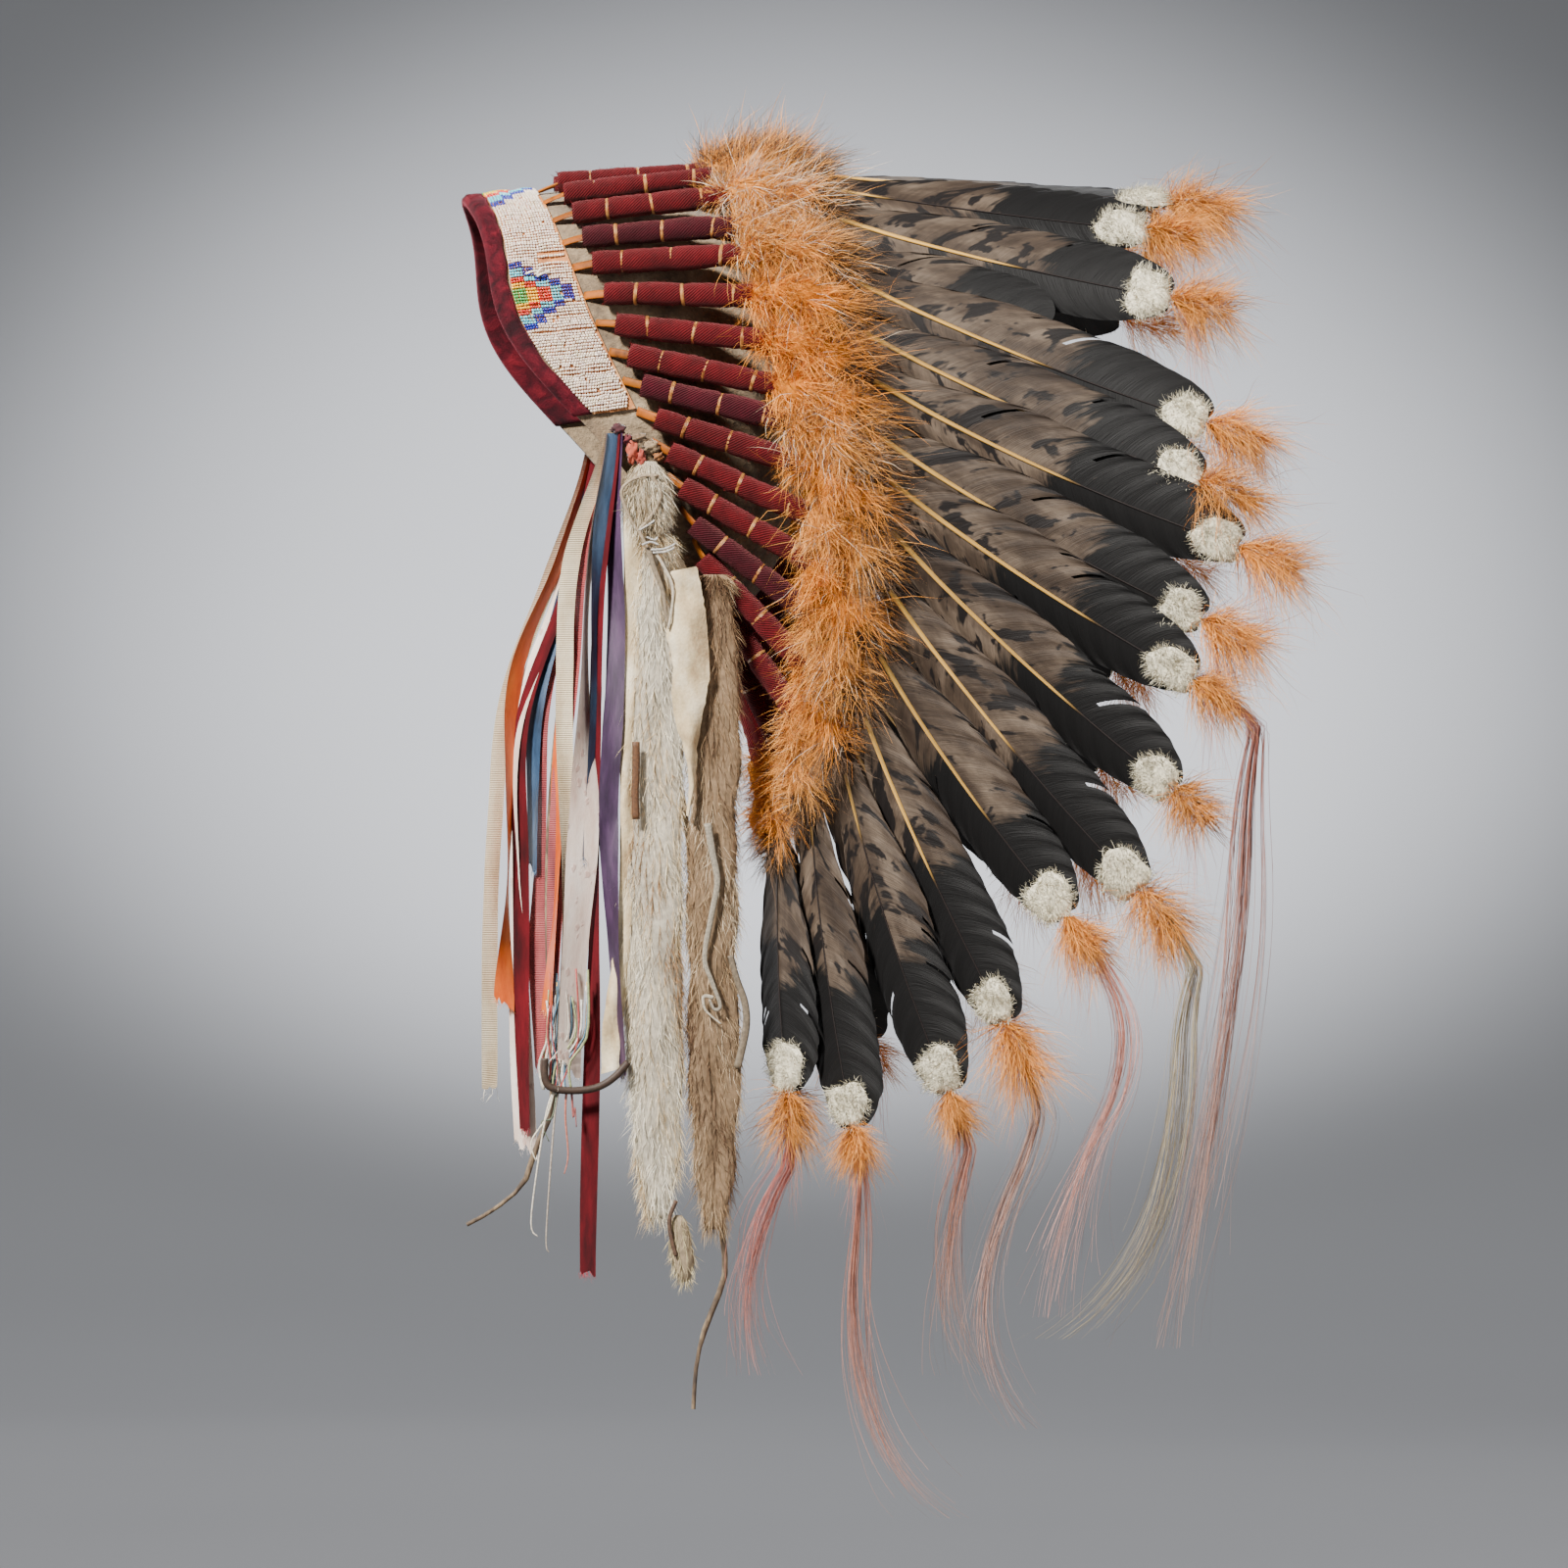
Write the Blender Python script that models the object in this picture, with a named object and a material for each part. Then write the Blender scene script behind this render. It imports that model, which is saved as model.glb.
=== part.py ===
"""Feathered war bonnet: a felt cap with a beaded brow band, two fans of feathers,
hair locks, ribbons and strips of fur. The brow is towards -X, the near side is -Y,
and the origin is the inside of the cap's crown."""

import math

import bmesh
import bpy
from mathutils import Vector

# Driving sizes, in metres
CAP_LENGTH = 0.205
CAP_HEIGHT = 0.275
CAP_WIDTH = 0.172
CAP_WALL = 0.0025
CROWN_FROM_FRONT = 0.110
TEMPLE_LEAD = 0.026
BAND_WALL = 0.0022
BINDING_WALL = 0.0018
BINDING_OUTER_LEG = 0.009
BINDING_INNER_LEG = 0.022
FEATHER_LENGTH = 0.415
LOOP_LENGTH = 0.010
LOOP_WIDTH = 0.005
LOOP_WALL = 0.0018
WRAP_LENGTH = 0.090
WRAP_RADIUS = 0.0058
PLUME_LENGTH = 0.062
PLUME_WIDTH = 0.026
PLUME_HEIGHT = 0.032
VANE_WIDTH = 0.047
VANE_WALL = 0.0022
PAD_LENGTH = 0.026
PAD_WIDTH = 0.022
PAD_WALL = 0.006
TUFT_LENGTH = 0.056
TUFT_WIDTH = 0.030
LOCK_LENGTH = 0.362
LOCK_WIDTH = 0.013
RIBBON_LENGTH = 0.490
RIBBON_WIDTH = 0.020
RIBBON_WALL = 0.001
KNOT_LENGTH = 0.041
KNOT_WIDTH = 0.024
KNOT_DEPTH = 0.018
FUR_LENGTH = 0.400
FUR_WIDTH = 0.036
FUR_DEPTH = 0.010
THONG_DIAMETER = 0.0036

# Clearances, in metres
GAP = 0.0003
BAND_GAP = 0.0007
LOCK_GAP = 0.0004

# Counts and angles
RING_STEPS = 36
SIDES = 8
PATH_STEPS = 96
BAND_END_DEG = 90.0
BAND_STEPS = 18
TEMPLE_DEG = 70.0
TEMPLE_SPREAD_DEG = 27.0
VANE_ROLL_DEG = 15.0
TUFT_DROOP_DEG = 14.0
BAND_HIGH_ROW = 0.80
LOOP_ROW = 0.87
SEAT_ROW = 0.30
SEAT_DEG = 97.0
KNOT_SEAT_DEG = 108.0
KNOT_BACK_SHARE = 0.66
KNOT_DROP_SHARE = 0.80
PLUME_FILL = 0.66
LOCK_SIDES = 6
LOCK_DEPTH_SHARE = 0.7
LOCK_SPLAY = 0.04
RIBBON_STATIONS = 11
RIBBON_TOP_SHARE = 0.45
RIBBON_SPREAD_DROP = 0.25
RIBBON_RISE_SHARE = 0.2
FUR_BACK_SHARE = 0.4
FUR_SWAY_SHARE = 0.03
FUR_SWAY_TURNS = 7.0
FUR_THINNEST = 0.6
FUR_FACE_SHARE = 0.44
ROUTE_STEPS = 12
SHARP_DEG = 50.0
NEAR = -1.0
FAR = 1.0

# Rows of the cap from its open edge to the crown.
# Columns: front point back, front point down, nape point back, nape point down, width,
# as shares of the cap's length, height, length, height and width
CAP_ROWS = (
    (0.000, 0.023, 0.736, 0.972, 0.93),
    (0.246, 0.006, 0.762, 0.941, 0.99),
    (0.439, 0.000, 0.890, 0.810, 0.98),
    (0.609, 0.009, 0.965, 0.640, 0.87),
    (0.751, 0.045, 1.000, 0.470, 0.64),
    (0.850, 0.105, 0.985, 0.325, 0.36),
)
CROWN_POINT = (0.929, 0.205)

# Feathers from the brow to the nape.
# Columns: place on the half ring in degrees, pitch of the wrap, of the vane's root and
# of its tip, outward splay at the wrap and at the tip, length share, tip tuft share
FEATHERS = (
    (9, 4, -4.5, -3.5, 4, 6, 0.896, 1.0),
    (21, 6, -9, -6, 7, 10, 0.853, 0.8),
    (32, 6, -17.5, -10, 9, 13, 0.890, 1.0),
    (42, 4, -19, -16.5, 10, 14, 0.703, 0.2),
    (51, 3, -25.5, -19.5, 11, 15, 0.941, 1.0),
    (60, -1, -29, -20.5, 12, 16, 0.926, 0.95),
    (68, -7, -30.5, -20, 12, 17, 0.975, 1.0),
    (76, -12, -35, -26, 12, 17, 0.932, 1.0),
    (83.5, -14, -39, -30, 12, 17, 0.923, 0.8),
    (91.5, -18, -48, -39.5, 11, 17, 0.950, 0.75),
    (99.5, -25, -55, -47.5, 10, 16, 0.957, 1.0),
    (108, -31, -61, -51, 9, 15, 0.859, 0.85),
    (117.5, -39, -70.5, -63, 8, 13, 0.880, 1.0),
    (127, -48, -78, -68.5, 7, 11, 0.877, 0.6),
    (137.5, -57, -88, -79, 6, 9, 0.833, 0.6),
    (150, -65, -94, -84, 5, 7, 0.716, 0.8),
)
FAR_RISE_DEG = 14.0
FAR_SHORTENING = 0.14

# Hair locks.
# Columns: number of the near feather, length share, pitches along the lock
LOCKS = (
    (9, 1.00, (-100, -92, -98, -100, -102, -98)),
    (11, 0.65, (-106, -92, -98, -108, -127, -146)),
    (12, 0.55, (-64, -96, -117, -108, -102, -96)),
    (13, 0.53, (-102, -114, -106, -93, -74, -50)),
    (14, 0.37, (-108, -104, -96, -90, -80, -62)),
    (15, 0.58, (-92, -94, -86, -74, -58, -32)),
    (16, 0.35, (-122, -114, -106, -98, -84, -72)),
)

# Widths along a hair lock, as shares of its full width
LOCK_PROFILE = (0.22, 0.45, 0.65, 0.80, 0.95, 1.00, 0.95, 0.80, 0.25)

# Ribbons of the near side, then of the far side.
# Columns: name, side, layer out from the cap, width share, length share,
# sideways places at even drops as shares of the ribbon's full length
RIBBONS = (
    ("ribbon_near_orange", NEAR, 0, 0.55, 0.690, (-0.010, -0.053, -0.065, -0.074, -0.077, -0.089)),
    ("ribbon_near_burgundy", NEAR, 1, 0.42, 1.000, (-0.006, -0.025, -0.030, -0.032, -0.034, -0.038)),
    ("ribbon_near_salmon", NEAR, 2, 0.50, 0.680, (-0.008, -0.044, -0.053, -0.071, -0.078, -0.080)),
    ("ribbon_near_brocade", NEAR, 3, 0.95, 0.755, (-0.012, -0.036, -0.042, -0.045, -0.053, -0.062)),
    ("ribbon_near_purple", NEAR, 4, 0.58, 0.765, (-0.004, -0.013, -0.015, -0.023, -0.018, -0.006)),
    ("ribbon_near_blue", NEAR, 5, 0.50, 0.510, (-0.008, -0.023, -0.031, -0.028, -0.035, -0.041)),
    ("ribbon_near_cream", NEAR, 6, 0.55, 0.762, (-0.015, -0.058, -0.064, -0.062, -0.064, -0.069)),
    ("ribbon_far_burgundy", FAR, 0, 0.55, 0.840, (-0.004, -0.040, -0.094, -0.098, -0.097, -0.092)),
    ("ribbon_far_navy", FAR, 1, 0.60, 0.520, (-0.004, -0.023, -0.052, -0.076, -0.083, -0.084)),
    ("ribbon_far_salmon", FAR, 2, 0.62, 0.765, (-0.004, -0.029, -0.070, -0.073, -0.075, -0.073)),
    ("ribbon_far_brocade", FAR, 3, 0.72, 0.865, (-0.004, -0.046, -0.103, -0.105, -0.098, -0.091)),
    ("ribbon_far_orange", FAR, 4, 0.60, 0.685, (-0.006, -0.046, -0.100, -0.110, -0.114, -0.117)),
    ("ribbon_far_cream", FAR, 5, 0.62, 0.790, (-0.010, -0.058, -0.115, -0.129, -0.134, -0.136)),
)

# Long strips of fur below the knot.
# Columns: name, start below the knot, length, width and depth as shares of the knot's length
# and of the fur's length, width and depth
FUR_STRIPS = (
    ("fur_strip_long", 0.0, 1.000, 1.00, 1.00),
    ("fur_strip_tan", 0.6, 0.955, 0.88, 0.80),
)

# Widths along a fur strip, as shares of its full width
FUR_PROFILE = (0.45, 0.80, 0.94, 1.00, 0.90, 1.00, 0.92, 0.98, 0.86, 0.72, 0.30)

# The fur knot from top to bottom: height share and fullness share
KNOT_PROFILE = ((0.0, 0.45), (0.2, 0.9), (0.5, 1.0), (0.8, 0.85), (1.0, 0.4))

# Routes of the two hide thongs, x and z in metres, hand-chosen
THONG_FRONT_ROUTE = (
    (-0.031, -0.166),
    (-0.042, -0.205),
    (-0.058, -0.290),
    (-0.066, -0.380),
    (-0.066, -0.470),
    (-0.064, -0.533),
    (-0.074, -0.562),
    (-0.081, -0.582),
    (-0.098, -0.597),
    (-0.116, -0.607),
)
THONG_REAR_ROUTE = (
    (-0.004, -0.206),
    (0.004, -0.300),
    (0.018, -0.400),
    (0.028, -0.500),
    (0.032, -0.580),
    (0.037, -0.628),
    (0.034, -0.645),
    (0.025, -0.668),
    (0.020, -0.690),
    (0.018, -0.723),
)
THONG_SPACING = 0.0105

# Colours and finishes.
# Columns: red, green, blue, roughness
FINISHES = {
    "felt": (0.33, 0.27, 0.20, 0.95),
    "beads": (0.78, 0.66, 0.56, 0.35),
    "velvet": (0.13, 0.015, 0.022, 0.85),
    "feather": (0.055, 0.048, 0.045, 0.60),
    "hair": (0.55, 0.22, 0.18, 0.45),
    "ribbon": (0.75, 0.62, 0.46, 0.50),
    "fur": (0.72, 0.62, 0.48, 0.90),
    "hide": (0.25, 0.17, 0.10, 0.75),
}


def clear_scene():
    for item in list(bpy.data.objects):
        bpy.data.objects.remove(item, do_unlink=True)


def finish(name):
    """Give the material of one slot, made once."""
    found = bpy.data.materials.get(name)
    if found:
        return found
    red, green, blue, roughness = FINISHES[name]
    material = bpy.data.materials.new(name)
    material.use_nodes = True
    shader = material.node_tree.nodes["Principled BSDF"]
    shader.inputs["Base Color"].default_value = (red, green, blue, 1.0)
    shader.inputs["Roughness"].default_value = roughness
    shader.inputs["Metallic"].default_value = 0.0
    return material


def add_object(name, data, material_name):
    data.materials.append(finish(material_name))
    item = bpy.data.objects.new(name, data)
    bpy.context.scene.collection.objects.link(item)
    return item


def add_mesh(name, points, faces, material_name):
    """Make one closed mesh object with its faces turned outward."""
    mesh = bpy.data.meshes.new(name)
    mesh.from_pydata([tuple(point) for point in points], [], faces)
    work = bmesh.new()
    work.from_mesh(mesh)
    bmesh.ops.recalc_face_normals(work, faces=work.faces)
    work.to_mesh(mesh)
    work.free()
    mesh.shade_smooth()
    mesh.set_sharp_from_angle(angle=math.radians(SHARP_DEG))
    return add_object(name, mesh, material_name)


def add_loft(name, rings, material_name):
    """Join rings of equal count into one body with flat ends."""
    count = len(rings[0])
    points = [point for ring in rings for point in ring]
    faces = [tuple(range(count))]
    for row in range(len(rings) - 1):
        for step in range(count):
            here = row * count
            after = (step + 1) % count
            faces.append((here + step, here + after, here + count + after, here + count + step))
    last = (len(rings) - 1) * count
    faces.append(tuple(last + step for step in reversed(range(count))))
    return add_mesh(name, points, faces, material_name)


def lerp(first, second, share):
    return first + (second - first) * share


def smooth_share(value, start, end):
    share = min(1.0, max(0.0, (value - start) / (end - start)))
    return share * share * (3.0 - 2.0 * share)


def along(values, share):
    """Read a list of evenly spaced values at a share of its length."""
    place = min(1.0, max(0.0, share)) * (len(values) - 1)
    index = min(len(values) - 2, int(place))
    return lerp(values[index], values[index + 1], place - index)


def cap_point(row, degrees):
    """Give a point of the cap's outer face at a row and at an angle from the brow."""
    index = min(len(CAP_ROWS) - 2, int(row))
    share = row - index
    values = [lerp(a, b, share) for a, b in zip(CAP_ROWS[index], CAP_ROWS[index + 1])]
    front_back, front_down, nape_back, nape_down, width = values
    turn = math.radians(degrees)
    front = Vector((front_back * CAP_LENGTH - CROWN_FROM_FRONT, 0.0, CAP_WALL - front_down * CAP_HEIGHT))
    nape = Vector((nape_back * CAP_LENGTH - CROWN_FROM_FRONT, 0.0, CAP_WALL - nape_down * CAP_HEIGHT))
    point = (front + nape) / 2.0 + (front - nape) / 2.0 * math.cos(turn)
    point.y = -width * CAP_WIDTH / 2.0 * math.sin(turn)
    lead = math.exp(-((abs(degrees) - TEMPLE_DEG) / TEMPLE_SPREAD_DEG) ** 2)
    point.x -= TEMPLE_LEAD * lead * max(0.0, 1.0 - row)
    return point


def signed_degrees(degrees):
    return (degrees + 180.0) % 360.0 - 180.0


def cap_normal(row, degrees):
    """Give the outward direction of the cap's outer face."""
    last_row = len(CAP_ROWS) - 1
    row_step = 0.1
    turn_step = 3.0
    low_row = max(0.0, row - row_step)
    high_row = min(float(last_row), row + row_step)
    across = cap_point(high_row, degrees) - cap_point(low_row, degrees)
    before = cap_point(row, signed_degrees(degrees - turn_step))
    after = cap_point(row, signed_degrees(degrees + turn_step))
    normal = (after - before).cross(across)
    normal.normalize()
    return normal


def cap_offset(row, degrees, height):
    return cap_point(row, degrees) + cap_normal(row, degrees) * height


def add_cap():
    """Make the hollow felt cap: an outer and an inner skin joined round the open edge."""
    rows = len(CAP_ROWS)
    angles = [signed_degrees(360.0 * step / RING_STEPS) for step in range(RING_STEPS)]
    points = []
    for height in (0.0, -CAP_WALL):
        for row in range(rows):
            points.extend(cap_offset(float(row), angle, height) for angle in angles)
    back, down = CROWN_POINT
    crown = Vector((back * CAP_LENGTH - CROWN_FROM_FRONT, 0.0, CAP_WALL - down * CAP_HEIGHT))
    inward = cap_point(0.0, 90.0) + cap_point(0.0, -90.0) - crown * 2.0
    inward.normalize()
    outer_crown = len(points)
    points.append(crown)
    points.append(crown + inward * CAP_WALL)
    faces = []
    inner = rows * RING_STEPS
    for step in range(RING_STEPS):
        after = (step + 1) % RING_STEPS
        for skin in (0, inner):
            for row in range(rows - 1):
                here = skin + row * RING_STEPS
                above = here + RING_STEPS
                faces.append((here + step, here + after, above + after, above + step))
            top = skin + (rows - 1) * RING_STEPS
            faces.append((top + step, top + after, outer_crown + (1 if skin else 0)))
        faces.append((step, after, inner + after, inner + step))
    return add_mesh("cap", points, faces, "felt")


def band_angles():
    return [lerp(-BAND_END_DEG, BAND_END_DEG, step / BAND_STEPS) for step in range(BAND_STEPS + 1)]


def add_brow_band():
    """Make the beaded band on the cap's front, behind the binding."""
    rings = []
    for angle in band_angles():
        row_width = (cap_point(1.0, angle) - cap_point(0.0, angle)).length
        low_row = (BINDING_OUTER_LEG + BAND_GAP) / row_width
        inner = BAND_GAP
        outer = BAND_GAP + BAND_WALL
        corners = ((low_row, inner), (low_row, outer), (BAND_HIGH_ROW, outer), (BAND_HIGH_ROW, inner))
        rings.append([cap_offset(row, angle, height) for row, height in corners])
    return add_loft("brow_band", rings, "beads")


def add_band_binding():
    """Make the velvet binding, folded over the cap's front edge."""
    rings = []
    for angle in band_angles():
        edge = cap_point(0.0, angle)
        up = cap_point(1.0, angle) - edge
        up.normalize()
        out = cap_normal(0.0, angle)
        outer = GAP + BINDING_WALL
        inner = -CAP_WALL - GAP
        corners = (
            (BINDING_OUTER_LEG, GAP * 2.0),
            (BINDING_OUTER_LEG, outer + GAP),
            (-GAP, outer + GAP),
            (-GAP * 2.0 - BINDING_WALL, outer / 2.0),
            (-GAP * 2.0 - BINDING_WALL, inner - BINDING_WALL / 2.0),
            (-GAP, inner - BINDING_WALL - GAP),
            (BINDING_INNER_LEG, inner - BINDING_WALL - GAP),
            (BINDING_INNER_LEG, inner - GAP),
            (-GAP, inner - GAP),
            (-GAP, GAP * 2.0),
        )
        rings.append([edge + up * rise + out * height for rise, height in corners])
    return add_loft("band_binding", rings, "velvet")


def feather_pitch(row, share):
    """Give the pitch and the splay, in degrees, at a share of a feather's length."""
    wrap_pitch, root_pitch, tip_pitch, wrap_splay, tip_splay = row[1:6]
    wrap_end = (LOOP_LENGTH + WRAP_LENGTH) / FEATHER_LENGTH
    plume_end = wrap_end + PLUME_LENGTH / FEATHER_LENGTH
    pitch = lerp(wrap_pitch, root_pitch, smooth_share(share, wrap_end, plume_end))
    pitch += (tip_pitch - root_pitch) * min(1.0, max(0.0, (share - plume_end) / (1.0 - plume_end)))
    pitch -= TUFT_DROOP_DEG * max(0.0, share - 1.0) * FEATHER_LENGTH / TUFT_LENGTH
    splay = lerp(wrap_splay, tip_splay, smooth_share(share, wrap_end, 1.0))
    return pitch, splay


def feather_path(row):
    """Walk along one near feather and give its length, its points and their spacing."""
    length = FEATHER_LENGTH * row[6]
    reach = max(length, FEATHER_LENGTH) + PAD_LENGTH + TUFT_LENGTH
    spacing = reach / PATH_STEPS
    point = cap_offset(LOOP_ROW, row[0], GAP)
    points = [point.copy()]
    for step in range(PATH_STEPS):
        share = (step + 0.5) * spacing / length
        pitch, splay = (math.radians(value) for value in feather_pitch(row, share))
        level = math.cos(splay)
        heading = Vector((level * math.cos(pitch), -math.sin(splay), level * math.sin(pitch)))
        point = point + heading * spacing
        points.append(point)
    return length, points, spacing


def path_at(path, distance):
    length, points, spacing = path
    place = min(len(points) - 1.001, max(0.0, distance / spacing))
    index = int(place)
    return points[index].lerp(points[index + 1], place - index)


def flipped(point):
    return Vector((point.x, -point.y, point.z))


def fan_neighbours(paths, index, distance):
    """Give the points of the feathers before and after one feather at the same distance."""
    here = path_at(paths[index], distance)
    if index == 0:
        before = flipped(here)
    else:
        before = path_at(paths[index - 1], distance)
    if index == len(paths) - 1:
        after = here + (here - before)
    else:
        after = path_at(paths[index + 1], distance)
    return here, before, after


def feather_frame(paths, index, distance, roll):
    """Give a point, the outward direction and the direction towards the next feather."""
    here, before, after = fan_neighbours(paths, index, distance)
    step = paths[index][2]
    ahead = path_at(paths[index], distance + step) - path_at(paths[index], distance - step)
    ahead.normalize()
    across = after - before
    across -= ahead * across.dot(ahead)
    across.normalize()
    out = across.cross(ahead)
    turn = math.radians(roll)
    tilted = across * math.cos(turn) - out * math.sin(turn)
    lifted = out * math.cos(turn) + across * math.sin(turn)
    room = min((here - before).length, (after - here).length)
    return here, lifted, tilted, room


def feather_sections(length, tuft_share):
    """List the sections of one feather.
    Columns: distance, half width, half height, height of the middle, share of the roll"""
    wrap_start = LOOP_LENGTH
    wrap_end = LOOP_LENGTH + WRAP_LENGTH
    plume_end = wrap_end + PLUME_LENGTH
    tip = length
    vane = tip - PAD_LENGTH - plume_end
    loop_half = LOOP_WALL / 2.0
    plume_half = PLUME_HEIGHT / 2.0
    plume_low = WRAP_RADIUS * 0.7
    vane_half = VANE_WALL / 2.0
    pad_half = PAD_WALL / 2.0
    tuft_half = TUFT_WIDTH / 2.0 * tuft_share
    tuft_end = tip + TUFT_LENGTH * tuft_share
    return (
        (0.0, LOOP_WIDTH / 2.0, loop_half, loop_half, 0.0),
        (wrap_start * 0.8, LOOP_WIDTH / 2.0, loop_half, loop_half * 1.2, 0.0),
        (wrap_start, WRAP_RADIUS, WRAP_RADIUS, WRAP_RADIUS, 0.0),
        (wrap_end - PLUME_LENGTH * 0.12, WRAP_RADIUS, WRAP_RADIUS, WRAP_RADIUS, 0.0),
        (wrap_end + PLUME_LENGTH * 0.10, -PLUME_WIDTH / 2.0, plume_half * 0.9, plume_half * 0.9, 0.0),
        (wrap_end + PLUME_LENGTH * 0.55, -PLUME_WIDTH / 2.0, plume_half, plume_half + plume_low, 0.0),
        (plume_end, VANE_WIDTH * 0.18, vane_half * 1.2, WRAP_RADIUS, 0.25),
        (plume_end + vane * 0.22, VANE_WIDTH * 0.40, vane_half, WRAP_RADIUS, 0.85),
        (plume_end + vane * 0.55, VANE_WIDTH * 0.50, vane_half, WRAP_RADIUS, 1.0),
        (plume_end + vane * 0.85, VANE_WIDTH * 0.46, vane_half, WRAP_RADIUS, 1.0),
        (tip - PAD_LENGTH, PAD_WIDTH * 0.62, pad_half * 0.8, WRAP_RADIUS, 1.0),
        (tip - PAD_LENGTH * 0.25, PAD_WIDTH * 0.50, pad_half, WRAP_RADIUS, 1.0),
        (tip, PAD_WIDTH * 0.22, pad_half * 0.7, WRAP_RADIUS, 1.0),
        (lerp(tip, tuft_end, 0.5), tuft_half, tuft_half, WRAP_RADIUS, 1.0),
        (tuft_end, tuft_half * 0.4, tuft_half * 0.4, WRAP_RADIUS, 1.0),
    )


def far_rows():
    """Give the table of the far side, whose last feathers are shorter and less steep."""
    rows = []
    for index, row in enumerate(FEATHERS):
        place, wrap_pitch, root_pitch, tip_pitch, wrap_splay, tip_splay, length, tuft = row
        share = (index / (len(FEATHERS) - 1)) ** 3
        rise = FAR_RISE_DEG * share
        length *= 1.0 - FAR_SHORTENING * share
        rows.append((place, wrap_pitch, root_pitch + rise, tip_pitch + rise, wrap_splay, tip_splay, length, tuft))
    return rows


def feather_ring(paths, index, section):
    """Give the points of one section of a feather."""
    distance, half_width, half_height, height, roll_share = section
    here, out, across, room = feather_frame(paths, index, distance, VANE_ROLL_DEG * roll_share)
    if half_width < 0.0:
        half_width = min(-half_width, room * PLUME_FILL / 2.0)
    ring = []
    for step in range(SIDES):
        turn = 2.0 * math.pi * (step + 0.5) / SIDES
        wide = across * (half_width * math.cos(turn))
        ring.append(here + wide + out * (height + half_height * math.sin(turn)))
    return ring


def seat_path(paths, rows, index):
    """Lift a feather so that its loop and the start of its wrap rest on the cap."""
    place = rows[index][0]
    base = cap_point(LOOP_ROW, place)
    normal = cap_normal(LOOP_ROW, place)
    first_sections = feather_sections(paths[index][0], 1.0)[:3]
    points = [point for section in first_sections for point in feather_ring(paths, index, section)]
    lift = normal * (GAP - min((point - base).dot(normal) for point in points))
    length, walked, spacing = paths[index]
    return length, [point + lift for point in walked], spacing


def add_feathers(side, rows):
    """Make one side's fan, a feather at a time, and give its paths."""
    loose_paths = [feather_path(row) for row in rows]
    paths = [seat_path(loose_paths, rows, index) for index in range(len(rows))]
    side_name = "near" if side == NEAR else "far"
    for index, row in enumerate(rows):
        rings = []
        for section in feather_sections(paths[index][0], row[7]):
            ring = feather_ring(paths, index, section)
            rings.append(ring if side == NEAR else [flipped(point) for point in ring])
        add_loft(f"feather_{side_name}_{index + 1:02d}", rings, "feather")
    return paths


def add_locks(paths):
    """Hang the hair locks from the ends of the near side's tip tufts."""
    for number, (feather, length_share, pitches) in enumerate(LOCKS):
        path = paths[feather - 1]
        end = path[0] + TUFT_LENGTH * FEATHERS[feather - 1][7]
        here, out = feather_frame(paths, feather - 1, end, VANE_ROLL_DEG)[:2]
        ahead = path_at(path, end) - path_at(path, end - path[2])
        ahead.normalize()
        point = here + out * WRAP_RADIUS + ahead * LOCK_GAP
        last = len(LOCK_PROFILE) - 1
        step_length = LOCK_LENGTH * length_share / last
        rings = []
        heading = ahead
        for station, fullness in enumerate(LOCK_PROFILE):
            if station:
                pitch = math.radians(along(pitches, station / last))
                heading = Vector((math.cos(pitch), -LOCK_SPLAY, math.sin(pitch)))
                heading.normalize()
                point = point + heading * step_length
            side_way = heading.cross(Vector((0.0, 1.0, 0.0)))
            side_way.normalize()
            depth_way = side_way.cross(heading) * LOCK_DEPTH_SHARE
            half = LOCK_WIDTH / 2.0 * fullness
            ring = []
            for step in range(LOCK_SIDES):
                turn = 2.0 * math.pi * step / LOCK_SIDES
                ring.append(point + side_way * half * math.cos(turn) + depth_way * half * math.sin(turn))
            rings.append(ring)
        add_loft(f"hair_lock_{number + 1}", rings, "hair")


def ribbon_seat_depth():
    """Give how far out the cap reaches where the ribbons are sewn on."""
    turns = (-3.0, 0.0, 3.0)
    return max(-cap_point(SEAT_ROW, SEAT_DEG + turn).y for turn in turns)


def add_ribbons():
    """Hang the ribbons in layers, each a thin strip that sways forward and back."""
    seat = cap_point(SEAT_ROW, SEAT_DEG)
    depth = ribbon_seat_depth()
    for name, side, layer, width_share, length_share, sways in RIBBONS:
        half = RIBBON_WIDTH * width_share / 2.0
        inner = depth + GAP + layer * (RIBBON_WALL + GAP)
        outer = inner + RIBBON_WALL
        length = RIBBON_LENGTH * length_share
        rings = []
        for station in range(RIBBON_STATIONS):
            share = station / (RIBBON_STATIONS - 1)
            middle = seat.x + along(sways, share) * RIBBON_LENGTH
            narrow = half * lerp(RIBBON_TOP_SHARE, 1.0, smooth_share(share, 0.0, RIBBON_SPREAD_DROP))
            level = seat.z + RIBBON_WIDTH * RIBBON_RISE_SHARE - length * share
            corners = ((-narrow, inner), (narrow, inner), (narrow, outer), (-narrow, outer))
            rings.append([Vector((middle + x, side * y, level)) for x, y in corners])
        add_loft(name, rings, "ribbon")


def fur_place():
    """Give the middle of the fur knot, which lies on the cap behind the ribbons."""
    seat = cap_point(SEAT_ROW, SEAT_DEG)
    reach = -cap_point(SEAT_ROW, KNOT_SEAT_DEG).y + GAP + KNOT_DEPTH / 2.0
    return Vector((seat.x + KNOT_WIDTH * KNOT_BACK_SHARE, -reach, seat.z - KNOT_LENGTH * KNOT_DROP_SHARE))


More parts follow.
